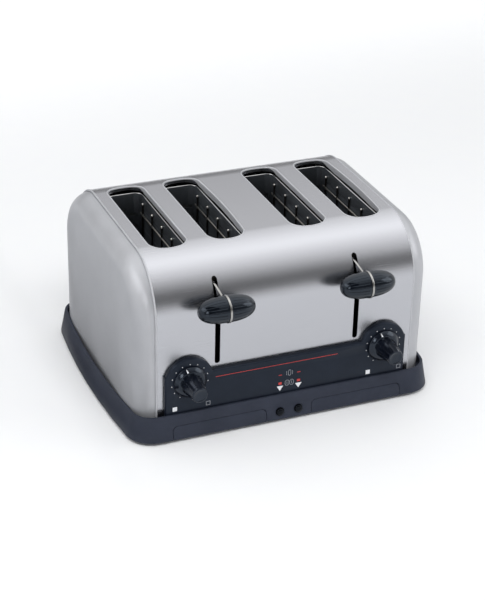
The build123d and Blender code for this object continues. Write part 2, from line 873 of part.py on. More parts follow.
def guide_rod(side):
    """Rod that the lift carriage runs on, held in the two tabs."""
    return rod_along_z(rod_diameter, side * lever_x, -rod_setback, tab_low_z, tab_high_z + tab_thickness)


def lift_spring(side):
    """Space that the lift spring takes round its rod, from the lower tab to the carriage."""
    low = tab_low_z + tab_thickness
    high = boss_bottom - stop_gap
    sleeve = bar_along_z(spring_diameter, spring_sides, low, high)
    sleeve -= bar_along_z(spring_bore, spring_sides, low - overrun, high + overrun)
    return Pos(side * lever_x, -rod_setback, 0) * sleeve


def latch_magnet(side):
    """Magnet on the lower tab that holds the carriage down."""
    x = side * (lever_x + magnet_offset)
    low = tab_low_z + tab_thickness
    high = base_bottom + carriage_low - lever_travel - magnet_gap
    middle = -carriage_face - carriage_sheet / 2
    core = block((x - magnet_width / 2, middle - magnet_depth / 2, low),
                 (x + magnet_width / 2, middle + magnet_depth / 2, low + lever_sheet))
    return core + block((x - coil_width / 2, middle - coil_width / 2, low),
                        (x + coil_width / 2, middle + coil_width / 2, high))


def control_board():
    """Circuit board on spacers in front of the front bulkhead, with two relays."""
    back = -bulkhead_front - board_stand
    low = base_bottom + board_low
    high = base_bottom + board_high
    half = board_width / 2
    board = block((-half, back - board_thickness, low), (half, back, high))
    for x in (spacer_inset - half, half - spacer_inset):
        for z in (low + spacer_inset, high - spacer_inset):
            board += block((x - spacer_width / 2, back, z - spacer_width / 2),
                           (x + spacer_width / 2, -bulkhead_front, z + spacer_width / 2))
    for side in sides.values():
        x = side * half / 2
        z = (low + high) / 2
        board += block((x - relay_width / 2, back - board_thickness - relay_depth, z - relay_height / 2),
                       (x + relay_width / 2, back - board_thickness, z + relay_height / 2))
    return board


# Levers


def lever_arm(side):
    """Plate through the lever slot, ending in the round that the handle halves clamp."""
    arm_top = base_bottom + lever_arm_top
    arm_low = arm_top - lever_arm_height
    outline = make_face(Polyline(
        (-boss_front, arm_low), (-boss_front, arm_top), (-handle_setback, arm_top - lever_arm_drop),
        (-handle_setback, arm_low), close=True))
    hole = peg_width + 2 * running_gap
    outline += Pos(-handle_setback, handle_z) * RegularPolygon(handle_radius + lever_rim, lever_round_sides)
    outline -= Pos(-handle_setback, handle_z) * Rectangle(hole, hole)
    arm = extrude(Plane.YZ * outline, amount=lever_sheet / 2, both=True)
    arm += block((-lever_flange_width / 2, -boss_front - lever_sheet, arm_top - lever_flange_height),
                 (lever_flange_width / 2, -boss_front, arm_top))
    return Pos(side * lever_x, 0, 0) * arm


def handle_ring(share):
    """Ribbed outline round a handle, as points at a share of its half length."""
    radius = handle_radius * math.sqrt(1 - share * share)
    ring = []
    for step in range(2 * handle_ribs):
        turn = math.pi * step / handle_ribs
        reach = radius - handle_groove * (1 - share) * (step % 2)
        ring.append((handle_half_length * share, reach * math.cos(turn), reach * math.sin(turn)))
    return ring


def handle_half(side, hand):
    """One egg-shaped, ribbed half of a handle; the half on the right-hand face carries the peg."""
    half = Pos(lever_sheet / 2, 0, 0) * faceted([handle_ring(share) for share in handle_ring_shares])
    socket_width = peg_width + 2 * running_gap
    if hand > 0:
        half += Pos(lever_sheet / 2, 0, 0) * Box(peg_length, peg_width, peg_width)
    else:
        half = mirror(half, about=Plane.YZ)
        half -= Pos(lever_sheet / 2, 0, 0) * Box(peg_length + overrun, socket_width, socket_width)
    return Pos(side * lever_x, -handle_setback, handle_z) * half


def carriage(side):
    """Cross plate that carries two racks, with a boss that runs on the guide rod."""
    half = pair_pitch / 2 + carriage_overhang
    low = base_bottom + carriage_low
    high = base_bottom + carriage_high
    plate = block((-half, -carriage_face - carriage_sheet, low), (half, -carriage_face, high))
    window = (high - low) * carriage_window_share
    for hand in (-1, 1):
        ends = sorted((hand * boss_width / 2, hand * half))
        plate -= block((ends[0], -carriage_face - carriage_sheet - overrun, high - window),
                       (ends[1], -carriage_face + overrun, high + overrun))
    plate += block((-boss_width / 2, -boss_front, boss_bottom), (boss_width / 2, -carriage_face, boss_top))
    plate -= rod_along_z(rod_diameter + 2 * running_gap, 0, -rod_setback,
                         boss_bottom - overrun, boss_top + overrun)
    return Pos(side * lever_x, 0, 0) * plate


def bread_rack(x):
    """Strip with cross fingers under the slice, with a bent tab on the carriage."""
    low = rack_z - rack_height
    rack = block((x - rack_sheet / 2, -carriage_face, low), (x + rack_sheet / 2, rack_end, rack_z))
    rack += block((x - rack_sheet / 2, -carriage_face, low),
                  (x + rack_tab, -carriage_face + rack_sheet, rack_z))
    for place in range(finger_count):
        y = (place - (finger_count - 1) / 2) * finger_pitch
        rack += block((x - finger_length / 2, y - rack_sheet, rack_z - rack_sheet),
                      (x + finger_length / 2, y + rack_sheet, rack_z))
    return rack


def all_parts():
    """Every node by name."""
    parts = {
        "base_tray": base_tray(),
        "rubber_feet": Compound(children=rubber_feet()),
        "base_screws": Compound(children=base_screws()),
        "cord_grommet": cord_grommet(),
        "wrap_cover": wrap_cover(),
        "control_panel": control_panel(),
        "front_bulkhead": front_bulkhead(),
        "rear_bulkhead": bulkhead_plate(False),
        "control_board": control_board(),
    }
    for name, side in sides.items():
        parts[f"end_cap_{name}"] = end_cap(side)
        parts[f"dial_knob_{name}"] = dial_knob(side)
        parts[f"dial_shaft_{name}"] = dial_shaft(side)
        parts[f"browning_control_{name}"] = browning_control(side)
        parts[f"push_button_{name}"] = push_button(side)
        parts[f"button_switch_{name}"] = button_switch(side)
        parts[f"tray_front_{name}"] = tray_front(side)
        parts[f"tray_pan_{name}"] = tray_pan(side)
        parts[f"guide_rod_{name}"] = guide_rod(side)
        parts[f"lift_spring_{name}"] = lift_spring(side)
        parts[f"latch_magnet_{name}"] = latch_magnet(side)
        parts[f"lever_arm_{name}"] = lever_arm(side)
        parts[f"handle_outer_{name}"] = handle_half(side, side)
        parts[f"handle_inner_{name}"] = handle_half(side, -side)
        parts[f"carriage_{name}"] = carriage(side)
    for index, x in enumerate(slot_offsets):
        number = index + 1
        parts[f"toast_well_{number}"] = toast_well(x)
        parts[f"heater_cards_{number}"] = Compound(children=[heater_card(x, hand) for hand in (-1, 1)])
        parts[f"bread_rack_{number}"] = bread_rack(x)
        for name, hand in sides.items():
            parts[f"bread_guard_{number}_{name}"] = bread_guard(x, hand)
    return parts


os.makedirs("parts", exist_ok=True)
for name, shape in all_parts().items():
    export_step(Pos(0, frame_shift, 0) * shape, f"parts/{name}.step")
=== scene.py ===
import bmesh
import bpy
import json
import math
from mathutils import Matrix, Vector


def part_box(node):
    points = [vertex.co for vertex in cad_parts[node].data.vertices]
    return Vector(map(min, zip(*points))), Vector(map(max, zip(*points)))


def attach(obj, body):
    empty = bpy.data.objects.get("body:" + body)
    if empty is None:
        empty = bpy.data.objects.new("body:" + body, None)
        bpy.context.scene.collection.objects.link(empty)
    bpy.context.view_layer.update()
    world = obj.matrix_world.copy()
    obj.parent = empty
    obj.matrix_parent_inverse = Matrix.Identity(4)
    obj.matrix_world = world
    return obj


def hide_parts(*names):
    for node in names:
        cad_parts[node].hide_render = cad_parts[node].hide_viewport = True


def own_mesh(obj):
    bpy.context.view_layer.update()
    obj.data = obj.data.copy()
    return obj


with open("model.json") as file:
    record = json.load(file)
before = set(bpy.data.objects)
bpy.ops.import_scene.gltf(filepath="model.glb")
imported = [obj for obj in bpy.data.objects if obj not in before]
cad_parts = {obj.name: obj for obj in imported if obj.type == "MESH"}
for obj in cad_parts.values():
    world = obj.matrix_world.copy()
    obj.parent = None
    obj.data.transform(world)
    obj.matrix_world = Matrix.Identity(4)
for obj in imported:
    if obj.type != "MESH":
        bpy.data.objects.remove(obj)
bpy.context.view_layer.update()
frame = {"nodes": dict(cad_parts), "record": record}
sides = {"left": -1, "right": 1}
slotNumbers = (1, 2, 3, 4)
mm = 0.001
slotOf = {part["node"]: part["material_slot"] for part in frame["record"]["subparts"]}
print("frame loaded")


# Shader helpers

def toLinear(red, green, blue):  # from values of 0 to 255 as seen on a screen
    shades = [shade / 255 for shade in (red, green, blue)]
    return tuple(((shade + 0.055) / 1.055) ** 2.4 for shade in shades) + (1.0,)


def fill(tree, node, inputs):  # links sockets to a node's inputs and sets plain values
    for key, value in inputs.items():
        if isinstance(value, bpy.types.NodeSocket):
            tree.links.new(value, node.inputs[key])
        else:
            node.inputs[key].default_value = value
    return node


def addNode(tree, kind, inputs=None, **settings):
    node = tree.nodes.new(kind)
    for key, value in settings.items():
        setattr(node, key, value)
    return fill(tree, node, inputs or {})


def addMath(tree, operation, *sources, **settings):
    node = addNode(tree, "ShaderNodeMath", dict(enumerate(sources)), operation=operation, **settings)
    return node.outputs["Value"]


def addMix(tree, kind, factor, first, second):
    node = addNode(tree, "ShaderNodeMix", {"Factor": factor, "A": first, "B": second}, data_type=kind)
    return node.outputs["Result"]


def addNoise(tree, place, scale, detail, roughness):
    inputs = {"Vector": place, "Scale": scale, "Detail": detail, "Roughness": roughness}
    return addNode(tree, "ShaderNodeTexNoise", inputs).outputs["Fac"]


def objectAxes(tree):  # Object coordinates as X, Y and Z
    place = addNode(tree, "ShaderNodeTexCoord").outputs["Object"]
    return addNode(tree, "ShaderNodeSeparateXYZ", {"Vector": place}).outputs


def newGroup(name, inputs, outputs):  # a shader group and what comes into it
    group = bpy.data.node_groups.new(name, "ShaderNodeTree")
    for label, kind in inputs.items():
        group.interface.new_socket(label, in_out="INPUT", socket_type=kind)
    for label in outputs:
        group.interface.new_socket(label, in_out="OUTPUT", socket_type="NodeSocketFloat")
    return group, addNode(group, "NodeGroupInput").outputs


def mouldedGroup(pitShare=0.4):  # fine grain of a mould and slow patches of handling
    inputs = {"Vector": "NodeSocketVector", "Grain": "NodeSocketFloat"}
    group, inside = newGroup("mouldedSurface", inputs, ("Height", "Patch"))
    place, size = inside["Vector"], inside["Grain"]
    grain = addNoise(group, place, size, detail=3.0, roughness=0.6)
    pits = addNode(group, "ShaderNodeTexVoronoi", {"Vector": place, "Scale": size}, feature="SMOOTH_F1")
    height = addMix(group, "FLOAT", pitShare, grain, pits.outputs["Distance"])
    patch = addNoise(group, place, scale=38.0, detail=4.0, roughness=0.62)
    addNode(group, "NodeGroupOutput", {"Height": height, "Patch": patch})
    return group


def brushedGroup(fineShare=0.5):  # long brush lines along one direction, and slow patches
    inputs = {"Vector": "NodeSocketVector", "Stretch": "NodeSocketVector"}
    group, inside = newGroup("brushedSurface", inputs, ("Lines", "Patch"))
    both = {0: inside["Vector"], 1: inside["Stretch"]}
    drawn = addNode(group, "ShaderNodeVectorMath", both, operation="MULTIPLY").outputs["Vector"]
    coarse = addNoise(group, drawn, scale=1.0, detail=3.0, roughness=0.7)
    fine = addNoise(group, drawn, scale=3.1, detail=2.0, roughness=0.6)
    lines = addMix(group, "FLOAT", fineShare, coarse, fine)
    patch = addNoise(group, inside["Vector"], scale=16.0, detail=3.0, roughness=0.55)
    addNode(group, "NodeGroupOutput", {"Lines": lines, "Patch": patch})
    return group


mouldedSurface = mouldedGroup()
brushedSurface = brushedGroup()
grainDepth = 0.0002
maskLow, maskHigh = 0.3, 0.7  # where most of the noise lies


def startMaterial(name, group, inputs):  # a material with a surface group read at Object coordinates
    material = bpy.data.materials.new(name)
    material.use_nodes = True
    tree = material.node_tree
    place = addNode(tree, "ShaderNodeTexCoord").outputs["Object"]
    surface = addNode(tree, "ShaderNodeGroup", {"Vector": place, **inputs}, node_tree=group)
    return material, tree, surface.outputs


def ranged(tree, source, low, high):  # a noise mask spread over a range of values
    inputs = {"Value": source, "From Min": maskLow, "From Max": maskHigh, "To Min": low, "To Max": high}
    return addNode(tree, "ShaderNodeMapRange", inputs).outputs["Result"]


def tinted(tree, mask, dark, light):  # two colours mixed by a mask
    return addMix(tree, "RGBA", ranged(tree, mask, 0.0, 1.0), toLinear(*dark), toLinear(*light))


def bumped(tree, height, strength):
    inputs = {"Height": height, "Strength": strength, "Distance": grainDepth}
    return addNode(tree, "ShaderNodeBump", inputs).outputs["Normal"]


def moulded(name, dark, light, roughness, grain=1500.0, bump=0.12, metallic=0.0, specular=0.5,
            tint=(1, 1, 1, 1)):  # plastic, rubber, paint and print
    material, tree, surface = startMaterial(name, mouldedSurface, {"Grain": grain})
    patch = surface["Patch"]
    fill(tree, tree.nodes["Principled BSDF"], {
        "Base Color": tinted(tree, patch, dark, light), "Roughness": ranged(tree, patch, *roughness),
        "Normal": bumped(tree, surface["Height"], bump), "Metallic": metallic,
        "Specular IOR Level": specular, "Specular Tint": tint})
    return material


def brushed(name, dark, light, roughness, stretch, smear=0.03, bump=0.06):  # sheet and drawn steel
    material, tree, surface = startMaterial(name, brushedSurface, {"Stretch": stretch})
    lines = surface["Lines"]
    uneven = ranged(tree, surface["Patch"], -smear, smear)
    rough = addMath(tree, "ADD", ranged(tree, lines, *roughness), uneven)
    fill(tree, tree.nodes["Principled BSDF"], {
        "Base Color": tinted(tree, lines, dark, light), "Roughness": rough,
        "Normal": bumped(tree, lines, bump), "Metallic": 1.0})
    return material


# Materials

blueBlack = (0.72, 0.84, 1, 1)
alongX = (6.0, 3000.0, 3000.0)
alongY = (3000.0, 6.0, 3000.0)
alongZ = (3000.0, 3000.0, 6.0)
materials = {
    "base_plastic": moulded("basePlastic", (46, 50, 61), (53, 57, 69), (0.4, 0.5), specular=0.12),
    "panel_plastic": moulded("panelPlastic", (17, 21, 31), (23, 28, 39), (0.3, 0.4), 1900.0, 0.05,
                             specular=0.28, tint=blueBlack),
    "knob_plastic": moulded("knobPlastic", (9, 12, 20), (15, 19, 29), (0.12, 0.2), 2400.0, 0.02,
                            tint=blueBlack),
    "handle_plastic": moulded("handlePlastic", (6, 9, 14), (9, 13, 20), (0.07, 0.11), 2400.0, 0.005,
                              tint=blueBlack),
    "control_black": moulded("controlBlack", (6, 7, 10), (10, 11, 15), (0.06, 0.1), 2400.0, 0.01,
                             specular=0.17, tint=blueBlack),
    "foot_rubber": moulded("footRubber", (24, 24, 25), (34, 34, 35), (0.7, 0.85), 900.0, 0.3),
    "mica": moulded("micaSheet", (57, 61, 65), (80, 84, 89), (0.4, 0.6), 420.0, 0.25, specular=0.3),
    "board_green": moulded("boardLacquer", (22, 62, 40), (36, 88, 58), (0.3, 0.45), 600.0, 0.2),
    "cap_silver": moulded("capSilver", (171, 172, 176), (177, 178, 182), (0.37, 0.41), 5200.0, 0.04,
                          metallic=0.4),
    "lip_steel": moulded("lipSteel", (176, 177, 181), (186, 187, 191), (0.34, 0.42), 4200.0, 0.03,
                         metallic=0.2),
    "cover_steel": brushed("coverSteel", (184, 185, 190), (188, 189, 194), (0.25, 0.275), alongX, 0.005,
                           0.004),
    "well_steel": brushed("wellSteel", (116, 121, 128), (138, 143, 150), (0.42, 0.55), alongZ, 0.06),
    "rack_steel": brushed("rackSteel", (84, 80, 75), (112, 107, 100), (0.34, 0.48), alongY),
    "frame_steel": brushed("frameSteel", (132, 134, 136), (158, 160, 162), (0.35, 0.5), alongX, 0.08),
    "bright_steel": brushed("brightSteel", (186, 186, 186), (210, 210, 210), (0.14, 0.24), alongZ),
}


def overlaid(tree, mask, colour):  # lays a colour over the base colour where a mask is 1
    shader = tree.nodes["Principled BSDF"]
    under = shader.inputs["Base Color"].links[0].from_socket
    fill(tree, shader, {"Base Color": addMix(tree, "RGBA", mask, under, colour)})


def leverPlate():  # bright edges, and broad sides painted dark as shade
    plate = {"edgeHalf": 0.0009, "paintedShade": toLinear(72, 73, 76)}
    low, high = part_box("lever_arm_right")
    material = brushed("leverSteel", (158, 157, 155), (176, 175, 172), (0.18, 0.3), alongY)
    tree = material.node_tree
    fromMiddle = addMath(tree, "ABSOLUTE", objectAxes(tree)["X"])
    fromPlate = addMath(tree, "SUBTRACT", fromMiddle, (low.x + high.x) / 2)
    pastEdge = addMath(tree, "GREATER_THAN", addMath(tree, "ABSOLUTE", fromPlate), plate["edgeHalf"])
    # painted shade: the broad sides of the plate get a dark colour that stands in for shadow
    overlaid(tree, pastEdge, plate["paintedShade"])
    return material


def guardWire():  # dark from the heat, with painted highlights on the tops of the tips and on the upper long wire
    paintedHighlight = {"colour": toLinear(226, 222, 214), "tipLow": 0.1522, "tipHigh": 0.1532,
            "rail": 0.142, "railHalf": 0.0016, "railShare": 0.45}
    material = brushed("wireSteel", (66, 63, 60), (92, 88, 84), (0.3, 0.42), alongZ)
    tree = material.node_tree
    level = objectAxes(tree)["Z"]
    inputs = {"Value": level, "From Min": paintedHighlight["tipLow"], "From Max": paintedHighlight["tipHigh"]}
    tip = addNode(tree, "ShaderNodeMapRange", inputs).outputs["Result"]
    rail = addMath(tree, "COMPARE", level, paintedHighlight["rail"], paintedHighlight["railHalf"])
    railHighlight = addMath(tree, "MULTIPLY", rail, paintedHighlight["railShare"])
    # painted highlight: a near-white colour laid fully on the tops of the tips and partly on the upper long
    # wire
    overlaid(tree, addMath(tree, "MAXIMUM", tip, railHighlight), paintedHighlight["colour"])
    return material


materials["lever_steel"] = leverPlate()
materials["wire_steel"] = guardWire()


def printed(name, dark, light):
    return moulded(name, dark, light, (0.45, 0.6), 3000.0, 0.05)


printWhite = printed("printWhite", (214, 216, 220), (232, 233, 236))
printGrey = printed("printGrey", (128, 131, 138), (146, 149, 156))
printRed = printed("printRed", (176, 44, 40), (198, 56, 50))
for name, node in frame["nodes"].items():
    for place in node.material_slots:
        place.material = materials[slotOf[name]]
print("materials made")


# Mesh helpers

smoothAngle = 40  # degrees between faces that still shade as one
flatAngle = 20  # the same for thin flat plates


def addObject(name, data):
    thing = bpy.data.objects.new(name, data)
    bpy.context.collection.objects.link(thing)
    return thing


def addPiece(name, mesh, slotName, body, *nodes, material=None):
    piece = addObject(name, mesh)
    mesh.materials.clear()
    mesh.materials.append(material or materials[slotName])
    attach(piece, body)
    if nodes:
        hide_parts(*nodes)
    return piece


def shaded(mesh, angle):  # smooth up to an angle between neighbours
    mesh.shade_smooth()
    mesh.set_sharp_from_angle(angle=math.radians(angle))
    return mesh


def outwardForm(mesh):  # a mesh opened for changes, with its faces turned outward
    form = bmesh.new()
    form.from_mesh(mesh)
    bmesh.ops.recalc_face_normals(form, faces=form.faces)
    return form


def smoothed(mesh, angle):  # outward faces and smooth shading
    form = outwardForm(mesh)
    form.to_mesh(mesh)
    form.free()
    return shaded(mesh, angle)


def rawMesh(name, points, faces):
    mesh = bpy.data.meshes.new(name)
    mesh.from_pydata(points, [], faces)
    return mesh


def meshFrom(name, points, faces, angle=smoothAngle):
    return smoothed(rawMesh(name, points, faces), angle)


def blended(first, last, share):
    return first + (last - first) * share


def quarterTurns(steps, quarter=0):  # angles over a quarter of a turn
    return [math.pi / 2 * (quarter + step / steps) for step in range(steps + 1)]


def bandFaces(rows, count, start=0, wrap=True):  # faces between rows of points
    faces = []
    for row in range(rows - 1):
        for column in range(count if wrap else count - 1):
            after = (column + 1) % count
            low = start + row * count
            faces.append((low + column, low + after, low + count + after, low + count + column))
    return faces


def ringFaces(rows, count, start):  # faces between rows of points, and from the last row to the first
    faces = bandFaces(rows, count, start)
    seam = start + (rows - 1) * count
    for step in range(count):
        after = (step + 1) % count
        faces.append((seam + step, seam + after, start + after, start + step))
    return faces


def closedLoft(rings, start=0):  # faces of rings of points with both ends filled
    count = len(rings[0])
    last = start + (len(rings) - 1) * count
    faces = bandFaces(len(rings), count, start)
    faces.append(tuple(range(start + count - 1, start - 1, -1)))
    faces.append(tuple(range(last, last + count)))
    return faces


def pointsOf(rings):
    return [point for ring in rings for point in ring]


def roundRing(centre, radius, count, first, second):  # ring about a centre in the plane of two directions
    turns = [2 * math.pi * step / count for step in range(count)]
    return [centre + first * (radius * math.cos(turn)) + second * (radius * math.sin(turn)) for turn in turns]


def tubeRings(path, ups, radius, count, closed):  # round section carried along a path
    rings = []
    for index, point in enumerate(path):
        ahead = path[(index + 1) % len(path)] if closed else path[min(index + 1, len(path) - 1)]
        behind = path[index - 1] if closed else path[max(index - 1, 0)]
        side = (ahead - behind).normalized().cross(ups[index]).normalized()
        rings.append(roundRing(point, radius, count, side, ups[index]))
    return rings


def mergedForm(node, reach=0.000002):  # a CAD node's triangles joined into one skin
    form = bmesh.new()
    form.from_mesh(frame["nodes"][node].data)
    bmesh.ops.remove_doubles(form, verts=form.verts, dist=reach)
    bmesh.ops.recalc_face_normals(form, faces=form.faces)
    return form


def formMesh(form, name):
    mesh = bpy.data.meshes.new(name)
    form.to_mesh(mesh)
    form.free()
    for layer in ("custom_normal", "sharp_edge", "sharp_face"):
        if layer in mesh.attributes:
            mesh.attributes.remove(mesh.attributes[layer])
    return mesh


finish = {"flat": 0.5, "sharp": 32, "segments": 2, "profile": 0.5}  # angles in degrees


def refined(node, body, edge):  # a CAD node with its edges broken and its rounds smooth
    name = f"{node}_finish"
    form = mergedForm(node)
    flat, sharp = math.radians(finish["flat"]), math.radians(finish["sharp"])
    bmesh.ops.dissolve_limit(form, angle_limit=flat, verts=form.verts, edges=form.edges)
    corners = [line for line in form.edges if len(line.link_faces) == 2 and line.calc_face_angle() > sharp]
    bmesh.ops.bevel(form, geom=corners, offset=edge, segments=finish["segments"], profile=finish["profile"],
                    affect="EDGES", clamp_overlap=True)
    addPiece(name, shaded(formMesh(form, name), finish["sharp"]), slotOf[node], body, node)


# Folded cover with rolled lips round the bread openings

cover = {"beadRise": 0.0006, "bend": 0.0525, "lipZone": 0.02, "lipReach": 0.075,
         "lipRise": 0.00025, "lipRoll": 0.0008, "lipFall": 0.001, "lipDepth": 0.006, "lipSheet": 0.0005,
         "lipSeat": 0.0007, "lipSteps": 8, "lipShallow": 0.0012, "lipEnd": 0.064, "lipFade": 0.012,
         "beadRadius": 0.0009, "beadOut": 0.0007, "beadSteps": 28, "beadSides": 14, "beadWidth": 0.0016,
         "lipEndZone": 0.005, "skinFacing": 0.9, "wallFacing": 0.4, "sheetFacing": 0.93,
         "seatShares": ((1, -1), (1, 0.25), (0.5, 0.8)), "stepShare": 0.1, "raisedShare": 0.5,
         "weldShare": 0.05}
coverLow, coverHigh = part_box("wrap_cover")
middleY = (coverLow.y + coverHigh.y) / 2
coverHalf = (coverHigh.y - coverLow.y) / 2 - cover["beadRise"]
coverTop = coverHigh.z - cover["beadRise"]


def pastBend(point):  # how far a point is past the middle of the bend, sideways and up
    return abs(point.y - middleY) - (coverHalf - cover["bend"]), point.z - (coverTop - cover["bend"])


def skinDirection(point):  # the way that the folded sheet faces at a point
    past, rise = pastBend(point)
    hand = 1 if point.y > middleY else -1
    if past > 0 and rise > 0:
        return Vector((0, hand * past, rise)).normalized()
    return Vector((0, 0, 1)) if rise > 0 else Vector((0, hand, 0))


def skinHeight(point):  # how far a point stands above the folded sheet
    past, rise = pastBend(point)
    return math.hypot(max(0, past), max(0, rise)) - cover["bend"]


def lipEdges(form):  # edges between the outer skin and the walls of the bread openings
    found = []
    for line in form.edges:
        middle = (line.verts[0].co + line.verts[1].co) / 2
        inSlots = abs(middle.y - middleY) < cover["lipReach"] and middle.z > coverTop - cover["lipZone"]
        if not inSlots or len(line.link_faces) != 2 or abs(middle.x) > coverHigh.x - cover["lipEndZone"]:
            continue
        facing = sorted(face.normal.dot(skinDirection(middle)) for face in line.link_faces)
        if facing[1] > cover["skinFacing"] and abs(facing[0]) < cover["wallFacing"]:
            found.append(line)
    return found


def chained(edges):  # edges put in order round each closed loop
    beside = {}
    for line in edges:
        for vert in line.verts:
            beside.setdefault(vert, []).append(line.other_vert(vert))
    loops = []
    while beside:
        first = next(iter(beside))
        loop = [first]
        while True:
            onward = [vert for vert in beside.pop(loop[-1], []) if vert in beside]
            if not onward:
                break
            loop.append(onward[0])
        loops.append([vert.co.copy() for vert in loop])
    return loops


def lipSection(depth):  # rolled edge, as distances out from the opening and up from the skin
    turns = quarterTurns(cover["lipSteps"], 1)
    rise, roll, fall = cover["lipRise"], cover["lipRoll"], cover["lipFall"]
    rolled = [(roll * math.cos(turn), rise - fall * (1 - math.sin(turn))) for turn in turns]
    inner = cover["lipSheet"] - roll
    seat = [(cover["lipSeat"] * out, rise * up) for out, up in cover["seatShares"]]
    return seat + rolled + [(-roll, -depth), (inner, -depth), (inner, rise - fall)]


def addLip(points, faces, loop):
    start = len(points)
    centre = sum(loop, Vector()) / len(loop)
    for index, point in enumerate(loop):
        share = min(1, max(0, (cover["lipEnd"] - abs(point.y - middleY)) / cover["lipFade"]))
        section = lipSection(blended(cover["lipShallow"], cover["lipDepth"], share))
        upward = skinDirection(point)
        outward = (loop[(index + 1) % len(loop)] - loop[index - 1]).cross(upward).normalized()
        if outward.dot(point - centre) < 0:
            outward = -outward
        points += [point + outward * out + upward * rise for out, rise in section]
    faces += ringFaces(len(loop), len(section), start)


def beadPath(x):  # middle of the rolled edge at one end of the sheet, and the way that it faces
    path, ups = [], []
    reach = cover["bend"] + cover["beadRise"] - cover["beadRadius"]
    for quarter, hand in ((0, -1), (1, 1)):
        corner = Vector((x, middleY + hand * (coverHalf - cover["bend"]), coverTop - cover["bend"]))
        for turn in quarterTurns(cover["beadSteps"], quarter):
            ups.append(Vector((0, -math.cos(turn), math.sin(turn))))
            path.append(corner + ups[-1] * reach)
    feet = [Vector((x, path[end].y, coverLow.z)) for end in (0, -1)]
    return [feet[0]] + path + [feet[1]], [ups[0]] + ups + [ups[-1]]


points, faces = [], []
for side in sides.values():
    path, ups = beadPath(side * (coverHigh.x - cover["beadRadius"] + cover["beadOut"]))
    rings = tubeRings(path, ups, cover["beadRadius"], cover["beadSides"], False)
    faces += closedLoft(rings, len(points))
    points += pointsOf(rings)
addPiece("cover_beads", meshFrom("coverBeads", points, faces), "cover_steel", "housing",
         material=materials["lip_steel"])
coverForm = mergedForm("wrap_cover")
points, faces = [], []
for loop in chained(lipEdges(coverForm)):
    addLip(points, faces, loop)
addPiece("slot_lips", meshFrom("slotLips", points, faces), "cover_steel", "housing",
         material=materials["lip_steel"])
beadRise = cover["beadRise"]
for vert in coverForm.verts:  # the raised ends run out into the sheet
    fromStep = abs(abs(vert.co.x) - (coverHigh.x - cover["beadWidth"]))
    raised = skinHeight(vert.co) > beadRise * cover["raisedShare"]
    if raised and fromStep < beadRise * cover["stepShare"]:
        vert.co -= skinDirection(vert.co) * beadRise
bmesh.ops.remove_doubles(coverForm, verts=coverForm.verts, dist=beadRise * cover["weldShare"])
coverMesh = smoothed(formMesh(coverForm, "foldedCover"), finish["sharp"])
cornerNormals = [corner.vector.copy() for corner in coverMesh.corner_normals]
for face in coverMesh.polygons:
    for corner in face.loop_indices:
        direction = skinDirection(coverMesh.vertices[coverMesh.loops[corner].vertex_index].co)
        facing = face.normal.dot(direction)
        if abs(facing) > cover["sheetFacing"]:
            cornerNormals[corner] = direction if facing > 0 else -direction
coverMesh.normals_split_custom_set(cornerNormals)
addPiece("folded_cover", coverMesh, "cover_steel", "housing", "wrap_cover")
print("cover made")


# End caps

cap = {"bend": 0.0512, "edge": 0.020, "turn": math.radians(79), "flatBend": 0.004, "wall": 0.0012,
       "edgeSteps": 18, "swellSteps": 12, "shoulderSteps": 28}


def capRing(x, depth, low, high):  # side view of the body moved in by a depth
    half = (high.y - low.y) / 2 - depth
    bend = cap["bend"] - depth
    top = high.z - depth
    turns = quarterTurns(cap["shoulderSteps"])
    back = [(half - bend + bend * math.cos(turn), top - bend + bend * math.sin(turn)) for turn in turns]
    front = [(-y, z) for y, z in reversed(back)]
    return [Vector((x, middleY + y, z)) for y, z in [(half, low.z)] + back + front + [(-half, low.z)]]


def endCap(name, side):
    low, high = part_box(f"end_cap_{name}")
    start, reach = (low.x, high.x) if side > 0 else (-high.x, -low.x)
    middle = cap["bend"] - cap["flatBend"]
    swell = (middle - cap["edge"]) / math.cos(cap["turn"]) + cap["edge"]
    edgeX = reach - swell + (swell - cap["edge"]) * math.sin(cap["turn"])
    rings = [capRing(start, 0, low, high)]
    for step in range(cap["edgeSteps"] + 1):
        angle = cap["turn"] * step / cap["edgeSteps"]
        depth = cap["edge"] * (1 - math.cos(angle))
        rings.append(capRing(edgeX + cap["edge"] * math.sin(angle), depth, low, high))
    for step in range(1, cap["swellSteps"] + 1):
        angle = cap["turn"] + (math.pi / 2 - cap["turn"]) * step / cap["swellSteps"]
        depth = middle - swell * math.cos(angle)
        rings.append(capRing(reach - swell + swell * math.sin(angle), depth, low, high))
    count = len(rings[0])
    points = [Vector((side * point.x, point.y, point.z)) for point in pointsOf(rings)]
    faces = bandFaces(len(rings), count, 0, False)
    faces.append(tuple(range(len(points) - count, len(points))))
    mesh = rawMesh(f"endCap.{name}", points, faces)
    form = outwardForm(mesh)
    if sum(face.normal.x * face.calc_area() for face in form.faces) * side < 0:
        bmesh.ops.reverse_faces(form, faces=form.faces)
    bmesh.ops.solidify(form, geom=form.faces, thickness=cap["wall"])
    form.to_mesh(mesh)
    form.free()
    addPiece(f"end_shell_{name}", shaded(mesh, smoothAngle), "cap_silver", "housing", f"end_cap_{name}")


for name, side in sides.items():
    endCap(name, side)
print("end caps made")


# Base, panel and other pieces that keep the form of their solids

fixedEdges = {"base_tray": 0.0011, "control_panel": 0.0006, "rubber_feet": 0.0004, "base_screws": 0.0002,
              "cord_grommet": 0.0002}
movingEdges = {"tray_front": ("tray", 0.0002), "lever_arm": ("lever", 0.0002)}
for node, edge in fixedEdges.items():
    refined(node, "housing", edge)
for node, (body, edge) in movingEdges.items():
    for name in sides:
        refined(f"{node}_{name}", f"{name}_{body}", edge)
print("base, panel, tray fronts and lever arms made")


# Handles

handle = {"grooves": 24, "grooveDepth": 0.00025, "grooveShares": (-0.5, -0.3, -0.13, -0.1, 0, 0.1, 0.13, 0.3),
          "plate": 0.001, "along": 30, "tip": 0.985, "fullness": 2.35, "fadeIn": 14}


